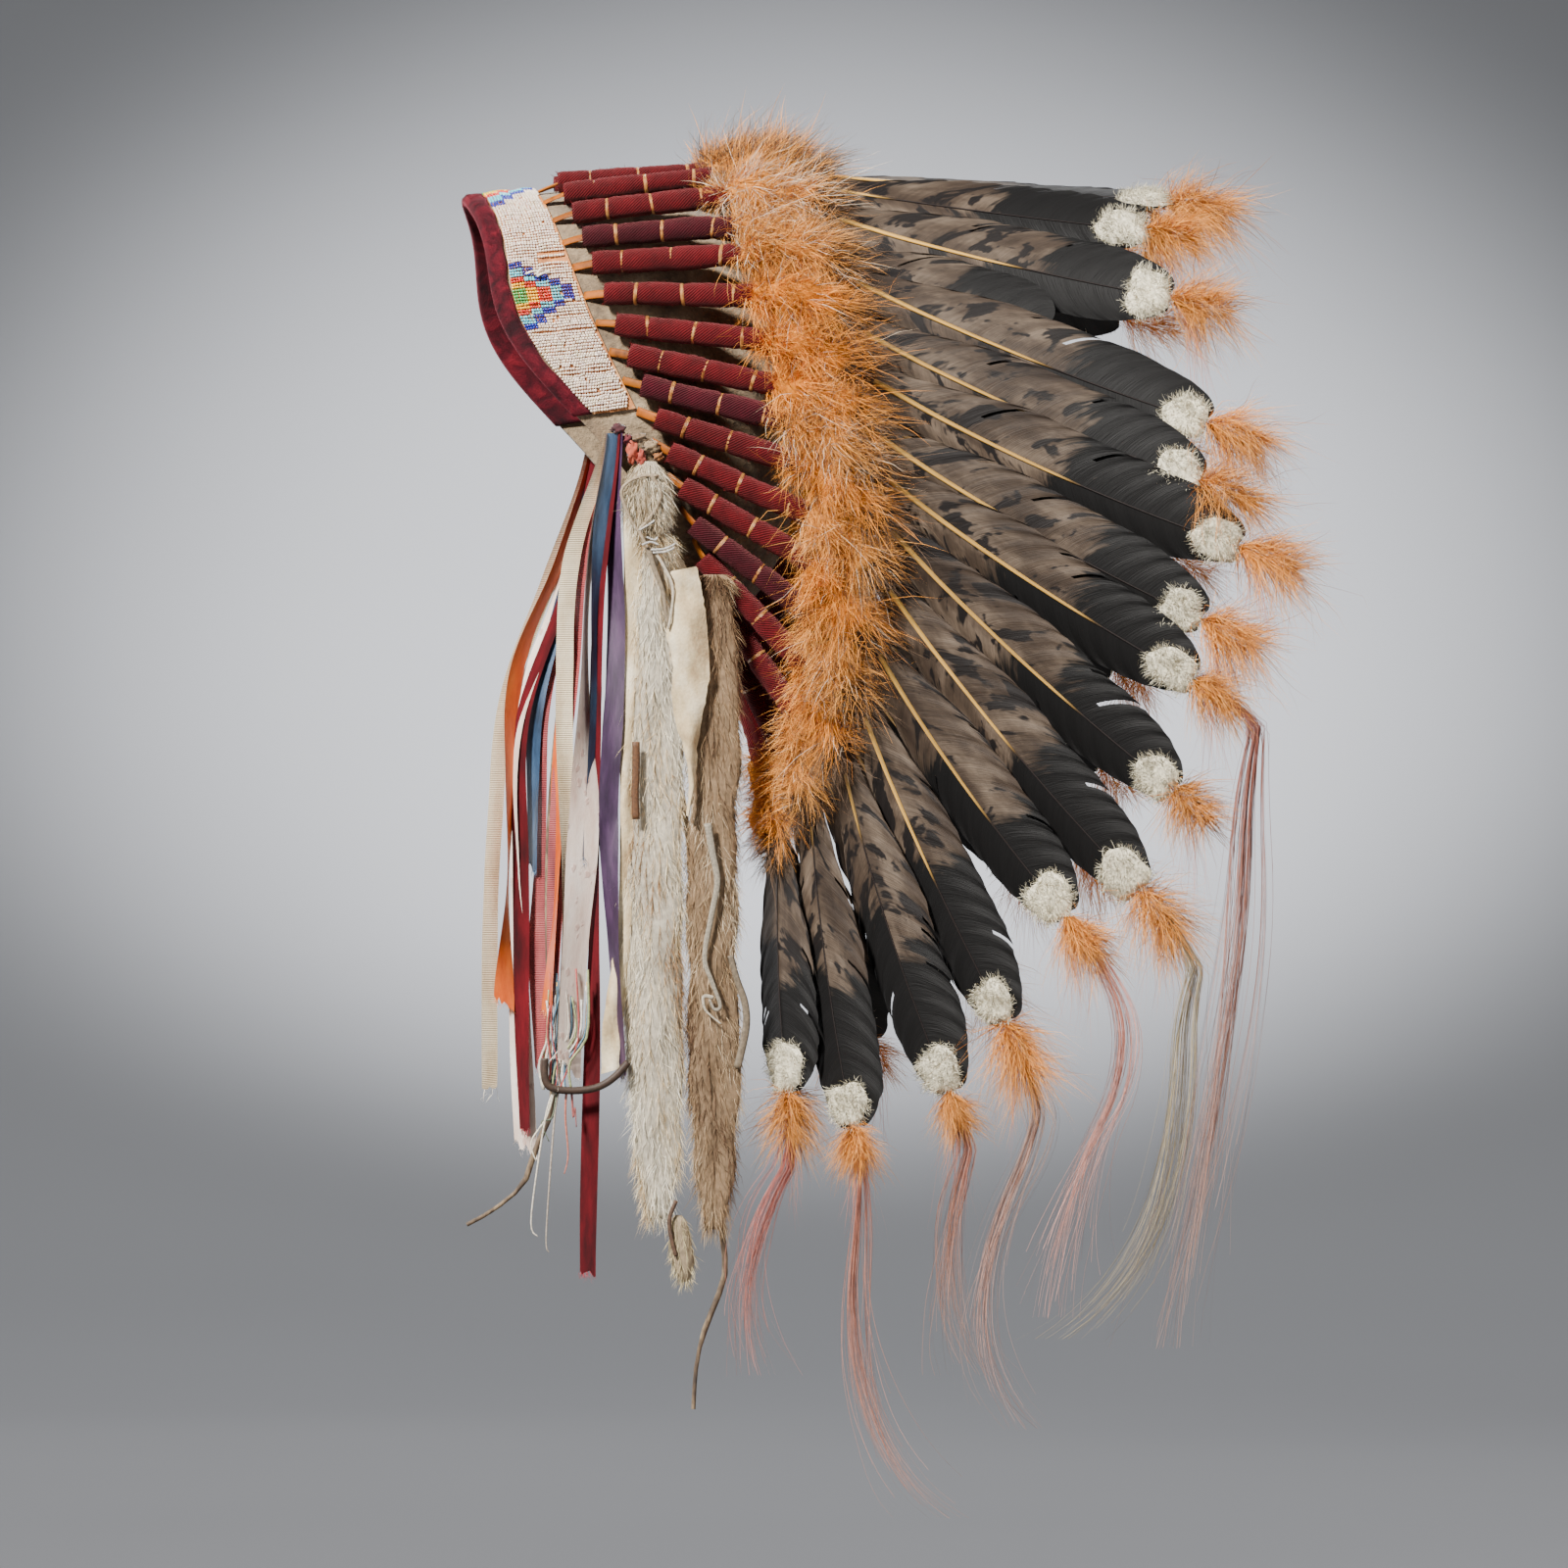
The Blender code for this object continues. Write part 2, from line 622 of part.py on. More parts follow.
def oval_ring(middle, half_width, half_depth):
    ring = []
    for step in range(SIDES):
        turn = 2.0 * math.pi * step / SIDES
        ring.append(middle + Vector((half_width * math.cos(turn), half_depth * math.sin(turn), 0.0)))
    return ring


def add_fur():
    """Make the tied knot of fur and the two long strips below it."""
    middle = fur_place()
    rings = []
    for share, fullness in KNOT_PROFILE:
        place = middle + Vector((0.0, 0.0, KNOT_LENGTH * (0.5 - share)))
        rings.append(oval_ring(place, KNOT_WIDTH / 2.0 * fullness, KNOT_DEPTH / 2.0 * fullness))
    add_loft("fur_knot", rings, "fur")
    back = (FUR_WIDTH - KNOT_WIDTH) * FUR_BACK_SHARE
    for name, start, length_share, width_share, depth_share in FUR_STRIPS:
        top = middle + Vector((back, 0.0, -KNOT_LENGTH * (0.5 + start) - GAP))
        back += FUR_WIDTH * (1.0 + FUR_STRIPS[-1][3]) / 2.0 + GAP
        length = FUR_LENGTH * length_share
        rings = []
        count = len(FUR_PROFILE)
        for station, fullness in enumerate(FUR_PROFILE):
            share = station / (count - 1)
            drop = start * KNOT_LENGTH + length * share
            sway = FUR_WIDTH * FUR_SWAY_SHARE * math.sin(FUR_SWAY_TURNS * drop / FUR_LENGTH)
            place = top + Vector((sway, 0.0, -length * share))
            half = FUR_WIDTH * width_share / 2.0 * fullness
            half_depth = FUR_DEPTH * depth_share / 2.0 * max(FUR_THINNEST, fullness)
            rings.append(oval_ring(place, half, half_depth))
        add_loft(name, rings, "fur")


def smooth_route(route):
    """Read a smooth curve through hand-chosen points at an even spacing."""
    dense = []
    for index in range(len(route) - 1):
        a = route[max(0, index - 1)]
        b = route[index]
        c = route[index + 1]
        d = route[min(len(route) - 1, index + 2)]
        for step in range(ROUTE_STEPS):
            t = step / ROUTE_STEPS
            dense.append(tuple(
                0.5 * (2.0 * b[k] + (c[k] - a[k]) * t + (2.0 * a[k] - 5.0 * b[k] + 4.0 * c[k] - d[k]) * t * t
                       + (3.0 * b[k] - a[k] - 3.0 * c[k] + d[k]) * t * t * t)
                for k in range(2)))
    dense.append(route[-1])
    kept = [dense[0]]
    walked = 0.0
    for before, after in zip(dense, dense[1:]):
        walked += math.dist(before, after)
        if walked >= THONG_SPACING:
            kept.append(after)
            walked = 0.0
    return kept


def add_thong(name, route, depth):
    curve = bpy.data.curves.new(name, "CURVE")
    curve.dimensions = "3D"
    points = smooth_route(route)
    spline = curve.splines.new("POLY")
    spline.points.add(len(points) - 1)
    for item, (x, z) in zip(spline.points, points):
        item.co = (x, -depth, z, 1.0)
    curve.bevel_depth = THONG_DIAMETER / 2.0
    curve.bevel_resolution = 2
    curve.use_fill_caps = True
    return add_object(name, curve, "hide")


def main():
    clear_scene()
    add_cap()
    add_brow_band()
    add_band_binding()
    near_paths = add_feathers(NEAR, FEATHERS)
    add_feathers(FAR, far_rows())
    add_locks(near_paths)
    add_ribbons()
    add_fur()
    inward = THONG_DIAMETER / 2.0 + GAP
    add_thong("thong_front", THONG_FRONT_ROUTE, ribbon_seat_depth() - inward)
    add_thong("thong_rear", THONG_REAR_ROUTE, -fur_place().y - FUR_DEPTH * FUR_FACE_SHARE - inward)


main()
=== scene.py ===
import math

import bpy
import numpy as np
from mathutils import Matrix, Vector


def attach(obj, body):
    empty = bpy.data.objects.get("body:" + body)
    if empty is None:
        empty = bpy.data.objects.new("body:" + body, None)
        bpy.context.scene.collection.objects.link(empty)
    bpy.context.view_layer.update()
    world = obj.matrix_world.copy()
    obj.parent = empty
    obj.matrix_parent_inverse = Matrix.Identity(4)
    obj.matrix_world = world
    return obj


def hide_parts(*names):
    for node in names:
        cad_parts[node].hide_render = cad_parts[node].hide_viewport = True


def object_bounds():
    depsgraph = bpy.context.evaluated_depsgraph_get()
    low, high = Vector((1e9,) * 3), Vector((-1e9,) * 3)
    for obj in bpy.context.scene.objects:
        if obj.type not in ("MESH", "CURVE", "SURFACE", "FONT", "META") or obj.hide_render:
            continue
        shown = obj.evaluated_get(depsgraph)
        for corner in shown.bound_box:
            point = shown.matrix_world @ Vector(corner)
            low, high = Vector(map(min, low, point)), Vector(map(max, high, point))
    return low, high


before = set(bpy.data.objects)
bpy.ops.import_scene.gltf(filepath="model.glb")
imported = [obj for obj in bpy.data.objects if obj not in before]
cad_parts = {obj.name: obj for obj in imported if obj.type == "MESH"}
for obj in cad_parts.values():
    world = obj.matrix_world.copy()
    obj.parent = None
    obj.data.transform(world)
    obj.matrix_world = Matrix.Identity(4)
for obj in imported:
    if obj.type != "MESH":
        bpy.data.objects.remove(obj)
CAD_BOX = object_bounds()
ROOM_LOW = np.array(CAD_BOX[0]) - 0.03 * np.array(CAD_BOX[1] - CAD_BOX[0]) - 0.008
ROOM_HIGH = np.array(CAD_BOX[1]) + 0.03 * np.array(CAD_BOX[1] - CAD_BOX[0]) + 0.008

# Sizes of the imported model, in metres
CAP_LENGTH, CAP_HEIGHT, CAP_WIDTH, CAP_WALL = 0.205, 0.275, 0.172, 0.0025
CROWN_FROM_FRONT, TEMPLE_LEAD = 0.110, 0.026
BINDING_WALL, BINDING_OUTER_LEG, BINDING_INNER_LEG = 0.0018, 0.009, 0.022
FEATHER_LENGTH, LOOP_LENGTH, WRAP_LENGTH, WRAP_RADIUS = 0.415, 0.010, 0.090, 0.0058
PLUME_LENGTH, PAD_LENGTH, PAD_WIDTH = 0.062, 0.026, 0.022
TUFT_LENGTH, LOCK_LENGTH, LOCK_WIDTH = 0.056, 0.362, 0.013
RIBBON_LENGTH, RIBBON_WIDTH, RIBBON_WALL, NARROW_RIBBON = 0.490, 0.020, 0.001, 0.0102
KNOT_LENGTH, KNOT_WIDTH, KNOT_DEPTH = 0.041, 0.024, 0.018
FUR_LENGTH, FUR_WIDTH, FUR_DEPTH, THONG_DIAMETER = 0.400, 0.036, 0.010, 0.0036
GAP, BAND_GAP, LOCK_GAP, THONG_SPACING = 0.0003, 0.0007, 0.0004, 0.0105
PATH_STEPS, LOOP_ROW, SEAT_ROW, SEAT_DEG, KNOT_SEAT_DEG = 96, 0.87, 0.30, 97.0, 108.0
BAND_END_DEG, BAND_HIGH_ROW, VANE_ROLL_DEG, TUFT_DROOP_DEG = 90.0, 0.80, 15.0, 14.0
CAP_ROWS = np.array((
    (0.000, 0.023, 0.736, 0.972, 0.93), (0.246, 0.006, 0.762, 0.941, 0.99),
    (0.439, 0.000, 0.890, 0.810, 0.98),
    (0.609, 0.009, 0.965, 0.640, 0.87), (0.751, 0.045, 1.000, 0.470, 0.64),
    (0.850, 0.105, 0.985, 0.325, 0.36)))
CROWN_POINT = (0.929, 0.205)
# Feathers: ring place, pitches of wrap, root and tip, splay at wrap and tip, length share, tuft share
FEATHERS = (
    (9, 4, -4.5, -3.5, 4, 6, 0.896, 1.0), (21, 6, -9, -6, 7, 10, 0.853, 0.8),
    (32, 6, -17.5, -10, 9, 13, 0.890, 1.0),
    (42, 4, -19, -16.5, 10, 14, 0.703, 0.2), (51, 3, -25.5, -19.5, 11, 15, 0.941, 1.0),
    (60, -1, -29, -20.5, 12, 16, 0.926, 0.95), (68, -7, -30.5, -20, 12, 17, 0.975, 1.0),
    (76, -12, -35, -26, 12, 17, 0.932, 1.0), (83.5, -14, -39, -30, 12, 17, 0.923, 0.8),
    (91.5, -18, -48, -39.5, 11, 17, 0.950, 0.75), (99.5, -25, -55, -47.5, 10, 16, 0.957, 1.0),
    (108, -31, -61, -51, 9, 15, 0.859, 0.85), (117.5, -39, -70.5, -63, 8, 13, 0.880, 1.0),
    (127, -48, -78, -68.5, 7, 11, 0.877, 0.6), (137.5, -57, -88, -79, 6, 9, 0.833, 0.6),
    (150, -65, -94, -84, 5, 7, 0.716, 0.8))
FAR_RISE_DEG, FAR_SHORTENING = 14.0, 0.14
# Hair locks: near feather, length share, pitches along the lock, root and tip colour
LOCKS = (
    (9, 1.00, (-100, -92, -98, -100, -102, -98), (176, 104, 92), (206, 160, 140)),
    (11, 0.65, (-106, -92, -98, -108, -127, -146), (188, 172, 140), (168, 150, 112)),
    (12, 0.55, (-64, -96, -117, -108, -102, -96), (196, 128, 112), (206, 150, 134)),
    (13, 0.53, (-102, -114, -106, -93, -74, -50), (206, 170, 150), (200, 150, 134)),
    (14, 0.37, (-108, -104, -96, -90, -80, -62), (178, 118, 100), (190, 140, 118)),
    (15, 0.58, (-92, -94, -86, -74, -58, -32), (190, 126, 108), (196, 140, 120)),
    (16, 0.35, (-122, -114, -106, -98, -84, -72), (196, 104, 92), (200, 128, 112)))
# Ribbons: name, side, layer, width share, length share, sideways places, finish
RIBBONS = (
    ("ribbon_near_orange", -1, 0, 0.55, 0.690, (-0.010, -0.053, -0.065, -0.074, -0.077, -0.089), "orange"),
    ("ribbon_near_burgundy", -1, 1, 0.50, 1.000,
     (-0.006, -0.025, -0.030, -0.032, -0.034, -0.038), "burgundy"),
    ("ribbon_near_salmon", -1, 2, 0.50, 0.680, (-0.008, -0.044, -0.053, -0.071, -0.078, -0.080), "salmon"),
    ("ribbon_near_brocade", -1, 3, 0.95, 0.755, (-0.012, -0.036, -0.042, -0.045, -0.053, -0.062), "brocade"),
    ("ribbon_near_purple", -1, 4, 0.58, 0.765, (-0.004, -0.013, -0.015, -0.023, -0.018, -0.006), "purple"),
    ("ribbon_near_blue", -1, 5, 0.50, 0.510, (-0.008, -0.023, -0.031, -0.028, -0.035, -0.041), "blue"),
    ("ribbon_near_cream", -1, 6, 0.55, 0.762, (-0.015, -0.058, -0.064, -0.062, -0.064, -0.069), "cream"),
    ("ribbon_far_burgundy", 1, 0, 0.55, 0.840, (-0.004, -0.040, -0.094, -0.098, -0.097, -0.092), "burgundy"),
    ("ribbon_far_navy", 1, 1, 0.60, 0.520, (-0.004, -0.023, -0.052, -0.076, -0.083, -0.084), "blue"),
    ("ribbon_far_salmon", 1, 2, 0.62, 0.765, (-0.004, -0.029, -0.070, -0.073, -0.075, -0.073), "salmon"),
    ("ribbon_far_brocade", 1, 3, 0.72, 0.865, (-0.004, -0.046, -0.103, -0.105, -0.098, -0.091), "brocade"),
    ("ribbon_far_orange", 1, 4, 0.60, 0.685, (-0.006, -0.046, -0.100, -0.110, -0.114, -0.117), "orange"),
    ("ribbon_far_cream", 1, 5, 0.62, 0.790, (-0.010, -0.058, -0.115, -0.129, -0.134, -0.136), "cream"))
# Ribbons: share of the width that faces sideways at six places, layer at the top and at the end
RIBBON_TURNS = {
    "ribbon_near_orange": ((0.5, 0.6, 0.5, 0.7, 0.35, 0.4), 0, 3.2),
    "ribbon_near_burgundy": ((0.5, 0.5, 0.6, 0.6, 0.95, 0.95), 4.4, 1.0),
    "ribbon_near_salmon": ((0.5, 0.6, 0.55, 0.85, 1.0, 0.4), 2, 2.6),
    "ribbon_near_brocade": ((0.3, 0.32, 0.3, 0.92, 0.88, 0.80), 3, 6.6),
    "ribbon_near_purple": ((0.5, 0.75, 0.9, 1.0, 0.6, 0.35), 4.6, 5.6),
    "ribbon_near_blue": ((0.95, 0.85, 0.5, 0.75, 0.5, 0.5), 6.2, 4.4),
    "ribbon_near_cream": ((0.6, 1.0, 0.98, 0.85, 0.5, 0.4), 6, 5.0),
    "ribbon_far_burgundy": ((0.5, 0.6, 0.75, 0.8, 0.8, 0.6), 0, 0),
    "ribbon_far_navy": ((0.5, 0.6, 0.65, 0.7, 0.65, 0.4), 1, 1),
    "ribbon_far_salmon": ((0.5, 0.8, 1.0, 0.35, 1.0, 0.4), 2, 0.6),
    "ribbon_far_brocade": ((0.4, 0.55, 0.5, 0.45, 0.8, 0.95), 3, 3),
    "ribbon_far_orange": ((0.5, 0.7, 0.7, 0.6, 0.25, 1.0), 4, 0.2),
    "ribbon_far_cream": ((0.6, 0.95, 0.95, 0.95, 0.9, 0.9), 5, 5)}
RIBBON_SHIFTS = {"ribbon_near_purple": 0.0042, "ribbon_near_cream": -0.0012}
# Fur strips, long and tan: start down the knot, and shares of length, width and depth
FUR_STRIPS = ((0.0, 1.000, 1.00, 1.00), (0.6, 0.955, 0.88, 0.80))
FUR_PROFILE = (0.45, 0.80, 0.94, 1.00, 0.90, 1.00, 0.92, 0.98, 0.86, 0.72, 0.30)
THONG_FRONT_ROUTE = (
    (-0.031, -0.166), (-0.042, -0.205), (-0.058, -0.290), (-0.066, -0.380), (-0.066, -0.470),
    (-0.064, -0.533), (-0.074, -0.562), (-0.081, -0.582), (-0.098, -0.597), (-0.116, -0.607))
THONG_REAR_ROUTE = (
    (-0.004, -0.206), (0.004, -0.300), (0.018, -0.400), (0.028, -0.500), (0.032, -0.580),
    (0.037, -0.628), (0.034, -0.645), (0.025, -0.668), (0.020, -0.690), (0.018, -0.723))

# Camera of the photograph: level, a little from the front of the near side
CAMERA_TURN, CAMERA_BACK, CAMERA_LENS = math.radians(-5.0), 6.0, 232.8
AIM_RIGHT, AIM_UP = 0.0783, -0.349


# Looks

def lin(colour):
    """Linear shares of a picture colour given in steps of 0 to 255."""
    return tuple(((c / 255 + 0.055) / 1.055) ** 2.4 for c in colour)


def paint(*colour):
    """A picture colour as an array of three linear shares."""
    return np.array(lin(colour))


class Look:
    """One procedural material."""

    def __init__(self, name, rough, **values):
        self.material = bpy.data.materials.new(name)
        self.material.use_nodes = True
        self.tree = self.material.node_tree
        self.shader = self.tree.nodes["Principled BSDF"]
        self.shader.inputs["Roughness"].default_value = rough
        for key, value in values.items():
            self.shader.inputs[key.replace("_", " ")].default_value = value

    def put(self, socket, value):
        if isinstance(value, bpy.types.NodeSocket):
            self.tree.links.new(value, socket)
        elif isinstance(value, tuple) and len(value) == 3 and socket.type == "RGBA":
            socket.default_value = (*value, 1.0)
        else:
            socket.default_value = value

    def attribute(self, name, output="Color"):
        node = self.tree.nodes.new("ShaderNodeAttribute")
        node.attribute_name = name
        return node.outputs[output]

    def place(self, scale, source=None, turn=0.0):
        node = self.tree.nodes.new("ShaderNodeMapping")
        if source is None:
            source = self.tree.nodes.new("ShaderNodeTexCoord").outputs["Object"]
        self.put(node.inputs["Vector"], source)
        node.inputs["Scale"].default_value = scale
        node.inputs["Rotation"].default_value = (0.0, 0.0, turn)
        return node.outputs["Vector"]

    def noise(self, vector, scale=1.0, detail=3.0, rough=0.55, bend=0.0):
        node = self.tree.nodes.new("ShaderNodeTexNoise")
        self.put(node.inputs["Vector"], vector)
        node.inputs["Scale"].default_value = scale
        node.inputs["Detail"].default_value = detail
        node.inputs["Roughness"].default_value = rough
        node.inputs["Distortion"].default_value = bend
        return node.outputs["Fac"]

    def cells(self, vector):
        node = self.tree.nodes.new("ShaderNodeTexVoronoi")
        self.put(node.inputs["Vector"], vector)
        node.inputs["Scale"].default_value = 1.0
        return node.outputs["Distance"]

    def grain(self, scale, detail=3.0, rough=0.55, bend=0.0):
        """Noise of one scale in all directions."""
        return self.noise(self.place((scale,) * 3), 1.0, detail, rough, bend)

    def shades(self, value, places, *colours):
        """A ramp through picture colours."""
        return self.ramp(value, *((place, lin(colour)) for place, colour in zip(places, colours)))

    def wave(self, vector, scale, bend=0.0, direction="X"):
        node = self.tree.nodes.new("ShaderNodeTexWave")
        node.wave_type = "BANDS"
        node.bands_direction = direction
        self.put(node.inputs["Vector"], vector)
        node.inputs["Scale"].default_value = scale
        node.inputs["Distortion"].default_value = bend
        node.inputs["Detail"].default_value = 1.0
        return node.outputs["Fac"]

    def ramp(self, value, *stops):
        node = self.tree.nodes.new("ShaderNodeValToRGB")
        self.put(node.inputs["Fac"], value)
        while len(node.color_ramp.elements) < len(stops):
            node.color_ramp.elements.new(0.5)
        for element, (place, colour) in zip(node.color_ramp.elements, stops):
            element.position = place
            element.color = (*colour, 1.0) if isinstance(colour, tuple) else (colour, colour, colour, 1.0)
        return node.outputs["Color"]

    def mix(self, share, first, second, kind="MIX"):
        node = self.tree.nodes.new("ShaderNodeMix")
        node.data_type = "RGBA"
        node.blend_type = kind
        self.put(node.inputs[0], share)
        self.put(node.inputs[6], first)
        self.put(node.inputs[7], second)
        return node.outputs[2]

    def math(self, kind, first, second=0.0, third=0.0):
        node = self.tree.nodes.new("ShaderNodeMath")
        node.operation = kind
        self.put(node.inputs[0], first)
        self.put(node.inputs[1], second)
        self.put(node.inputs[2], third)
        return node.outputs[0]

    def colour(self, value):
        self.put(self.shader.inputs["Base Color"], value)
        return self

    def bump(self, height, strength, distance=0.001):
        node = self.tree.nodes.new("ShaderNodeBump")
        node.inputs["Strength"].default_value = strength
        node.inputs["Distance"].default_value = distance
        self.put(node.inputs["Height"], height)
        old = self.shader.inputs["Normal"].links
        if old:
            self.put(node.inputs["Normal"], old[0].from_socket)
        self.put(self.shader.inputs["Normal"], node.outputs["Normal"])
        return self


def tinted(name, rough, change=0.25, scale=900.0, **values):
    """A finish whose colour comes from the piece's own tint, with fine variation."""
    look = Look(name, rough, **values)
    tint = look.attribute("tint")
    speck = look.ramp(look.noise(look.place((scale,) * 3), detail=2.0), (0.3, 1.0 - change),
                      (0.7, 1.0 + change * 0.4))
    return look.colour(look.mix(1.0, tint, speck, "MULTIPLY"))


def make_looks():
    looks = {}
    look = looks["felt"] = Look("felt", 0.95, Sheen_Weight=0.25, Sheen_Roughness=0.6)
    spots = look.grain(38, detail=5.0, rough=0.7)
    fine = look.grain(420, detail=4.0, rough=0.7)
    base = look.shades(spots, (0.30, 0.48, 0.70), (78, 62, 46), (132, 110, 82), (168, 146, 114))
    look.colour(look.mix(0.7, base, look.ramp(fine, (0.3, 0.45), (0.7, 1.15)), "MULTIPLY"))
    look.bump(fine, 0.8, 0.0016).bump(spots, 0.6, 0.004)
    look = looks["band_hide"] = Look("band_hide", 0.8)
    spots = look.grain(90, detail=5.0, rough=0.65)
    look.colour(look.shades(spots, (0.3, 0.5, 0.75), (120, 66, 30), (188, 120, 66), (226, 178, 124)))
    look.bump(spots, 0.6, 0.001)
    looks["beads"] = tinted("beads", 0.26, 0.12, 400.0, Coat_Weight=0.5, Coat_Roughness=0.12)
    look = looks["velvet"] = Look("velvet", 0.9, Sheen_Weight=0.35, Sheen_Roughness=0.4,
                                  Sheen_Tint=(0.7, 0.15, 0.2, 1.0), Specular_IOR_Level=0.2)
    patches = look.grain(75, detail=4.0, rough=0.6, bend=0.6)
    pile = look.grain(1500, detail=2.0)
    base = look.shades(patches, (0.34, 0.52, 0.72), (34, 6, 13), (74, 10, 23), (112, 22, 34))
    look.colour(look.mix(0.6, base, look.ramp(pile, (0.3, 0.5), (0.7, 1.2)), "MULTIPLY"))
    look.bump(pile, 0.7, 0.0006).bump(patches, 0.5, 0.0022)
    look = looks["wool"] = Look("wool", 0.95, Sheen_Weight=0.2, Sheen_Roughness=0.5,
                                Sheen_Tint=(1.0, 0.3, 0.3, 1.0), Specular_IOR_Level=0.2)
    lay = look.attribute("lay", "Vector")
    twill = look.wave(look.place((1.0, 1.0, 1.0), lay, 0.85), 0.24, 0.8)
    felted = look.grain(800, detail=4.0, rough=0.75)
    worn = look.grain(95, detail=4.0, rough=0.6)
    shade = look.mix(0.55, look.ramp(worn, (0.3, 0.55), (0.7, 1.25)),
                     look.ramp(felted, (0.3, 0.35), (0.7, 1.4)), "MULTIPLY")
    shade = look.mix(0.70, shade, look.ramp(twill, (0.2, 0.35), (0.8, 1.3)), "MULTIPLY")
    look.colour(look.mix(1.0, look.attribute("tint"), shade, "MULTIPLY"))
    look.bump(felted, 0.9, 0.0010).bump(twill, 0.8, 0.0008)
    looks["fuzz"] = tinted("wool_fuzz", 0.9, 0.3, 500.0, Specular_IOR_Level=0.2)
    look = looks["sinew"] = Look("sinew", 0.42, Coat_Weight=0.15, Coat_Roughness=0.3)
    lay = look.attribute("lay", "Vector")
    cords = look.wave(look.place((1.0, 1.0, 1.0), lay), 0.27, 0.6)
    stain = look.grain(260, detail=3.0)
    base = look.shades(stain, (0.3, 0.5, 0.75), (120, 66, 26), (190, 124, 58), (220, 168, 100))
    look.colour(look.mix(0.5, base, look.ramp(cords, (0.15, 0.35), (0.6, 1.1)), "MULTIPLY"))
    look.bump(cords, 0.8, 0.0006)
    look = looks["loop"] = Look("loop_hide", 0.6, Specular_IOR_Level=0.2)
    stain = look.grain(130, detail=5.0, rough=0.65)
    look.colour(look.mix(1.0, look.attribute("tint"),
                         look.ramp(stain, (0.28, 0.42), (0.5, 1.0), (0.75, 1.3)), "MULTIPLY"))
    look.bump(stain, 0.4, 0.0008)
    look = looks["vane"] = Look("vane", 0.60, Specular_IOR_Level=0.18)
    lay = look.attribute("lay", "Vector")
    barbs = look.noise(look.place((1.5, 0.05, 0.0), lay), detail=2.0, rough=0.7)
    wide_barbs = look.noise(look.place((0.30, 0.035, 0.0), lay), detail=3.0, rough=0.6)
    blots = look.noise(look.place((0.060, 0.050, 1.0), lay), detail=3.0, rough=0.55, bend=0.5)
    clouds = look.noise(look.place((0.028, 0.05, 1.0), lay), detail=4.0, rough=0.6)
    split = look.tree.nodes.new("ShaderNodeSeparateXYZ")
    look.put(split.inputs[0], look.attribute("zone", "Vector"))
    black_share, pale_share = split.outputs[0], split.outputs[1]
    brown = look.shades(clouds, (0.30, 0.48, 0.66), (40, 31, 25), (62, 51, 42), (94, 81, 69))
    brown = look.mix(pale_share, brown, look.mix(1.0, brown, (1.5, 1.45, 1.4), "MULTIPLY"))
    dark = look.ramp(look.math("ADD", blots, look.math("MULTIPLY", wide_barbs, 0.10)),
                     (0.585, 0.0), (0.625, 1.0))
    body = look.mix(dark, brown, lin((24, 20, 19)))
    edge = look.math("ADD", black_share, look.math("MULTIPLY", look.math("SUBTRACT", wide_barbs, 0.5), 0.55))
    edge = look.math("ADD", edge, look.math("MULTIPLY", look.math("SUBTRACT", blots, 0.5), 0.5))
    body = look.mix(look.ramp(edge, (0.44, 0.0), (0.56, 1.0)), body, lin((15, 14, 14)))
    streaks = look.ramp(barbs, (0.25, 0.62), (0.55, 1.0), (0.8, 1.28))
    body = look.mix(0.75, body, streaks, "MULTIPLY")
    look.colour(look.mix(0.45, body, look.ramp(wide_barbs, (0.3, 0.6), (0.7, 1.25)), "MULTIPLY"))
    look.bump(barbs, 0.55, 0.0005).bump(wide_barbs, 0.25, 0.0012)
    look = looks["quill"] = Look("quill", 0.32, Coat_Weight=0.2, Coat_Roughness=0.2)
    lines = look.noise(look.place((0.06, 3.0, 1.0), look.attribute("lay", "Vector")), detail=3.0)
    look.colour(look.mix(0.6, look.attribute("tint"), look.ramp(lines, (0.3, 0.55), (0.7, 1.25)), "MULTIPLY"))
    looks["down"] = tinted("down", 0.9, 0.25, 350.0, Specular_IOR_Level=0.08)
    looks["pad"] = tinted("hide_pad", 0.95, 0.35, 520.0, Specular_IOR_Level=0.2)
    looks["hair"] = tinted("hair", 0.5, 0.2, 300.0, Specular_IOR_Level=0.3)
    looks["cord"] = tinted("ties", 0.65, 0.45, 700.0)
    looks["bits"] = tinted("temple_bits", 0.8, 0.4, 420.0, Sheen_Weight=0.2)
    looks["fur"] = tinted("fur", 0.85, 0.3, 300.0, Specular_IOR_Level=0.2)
    look = looks["thong"] = Look("thong_hide", 0.7)
    grain = look.noise(look.place((240, 240, 60)), detail=5.0, rough=0.7)
    look.colour(look.shades(grain, (0.3, 0.5, 0.72), (38, 28, 22), (86, 68, 50), (150, 128, 98)))
    look.bump(grain, 0.8, 0.0008)
    look = looks["hide"] = Look("cream_hide", 0.85, Sheen_Weight=0.15)
    stains = look.noise(look.place((48, 48, 26)), detail=6.0, rough=0.65)
    fine = look.grain(600, detail=3.0)
    base = look.shades(stains, (0.30, 0.48, 0.68), (140, 108, 72), (200, 178, 138), (230, 216, 186))
    look.colour(look.mix(0.5, base, look.ramp(fine, (0.3, 0.7), (0.7, 1.1)), "MULTIPLY"))
    look.bump(fine, 0.5, 0.0006).bump(stains, 0.4, 0.003)
    make_ribbon_looks(looks)
    look = looks["stage"] = Look("backdrop", 0.95)
    soft = look.grain(0.6, detail=2.0)
    look.colour(look.shades(soft, (0.2, 0.8), (80, 81, 84), (85, 86, 89)))
    return looks


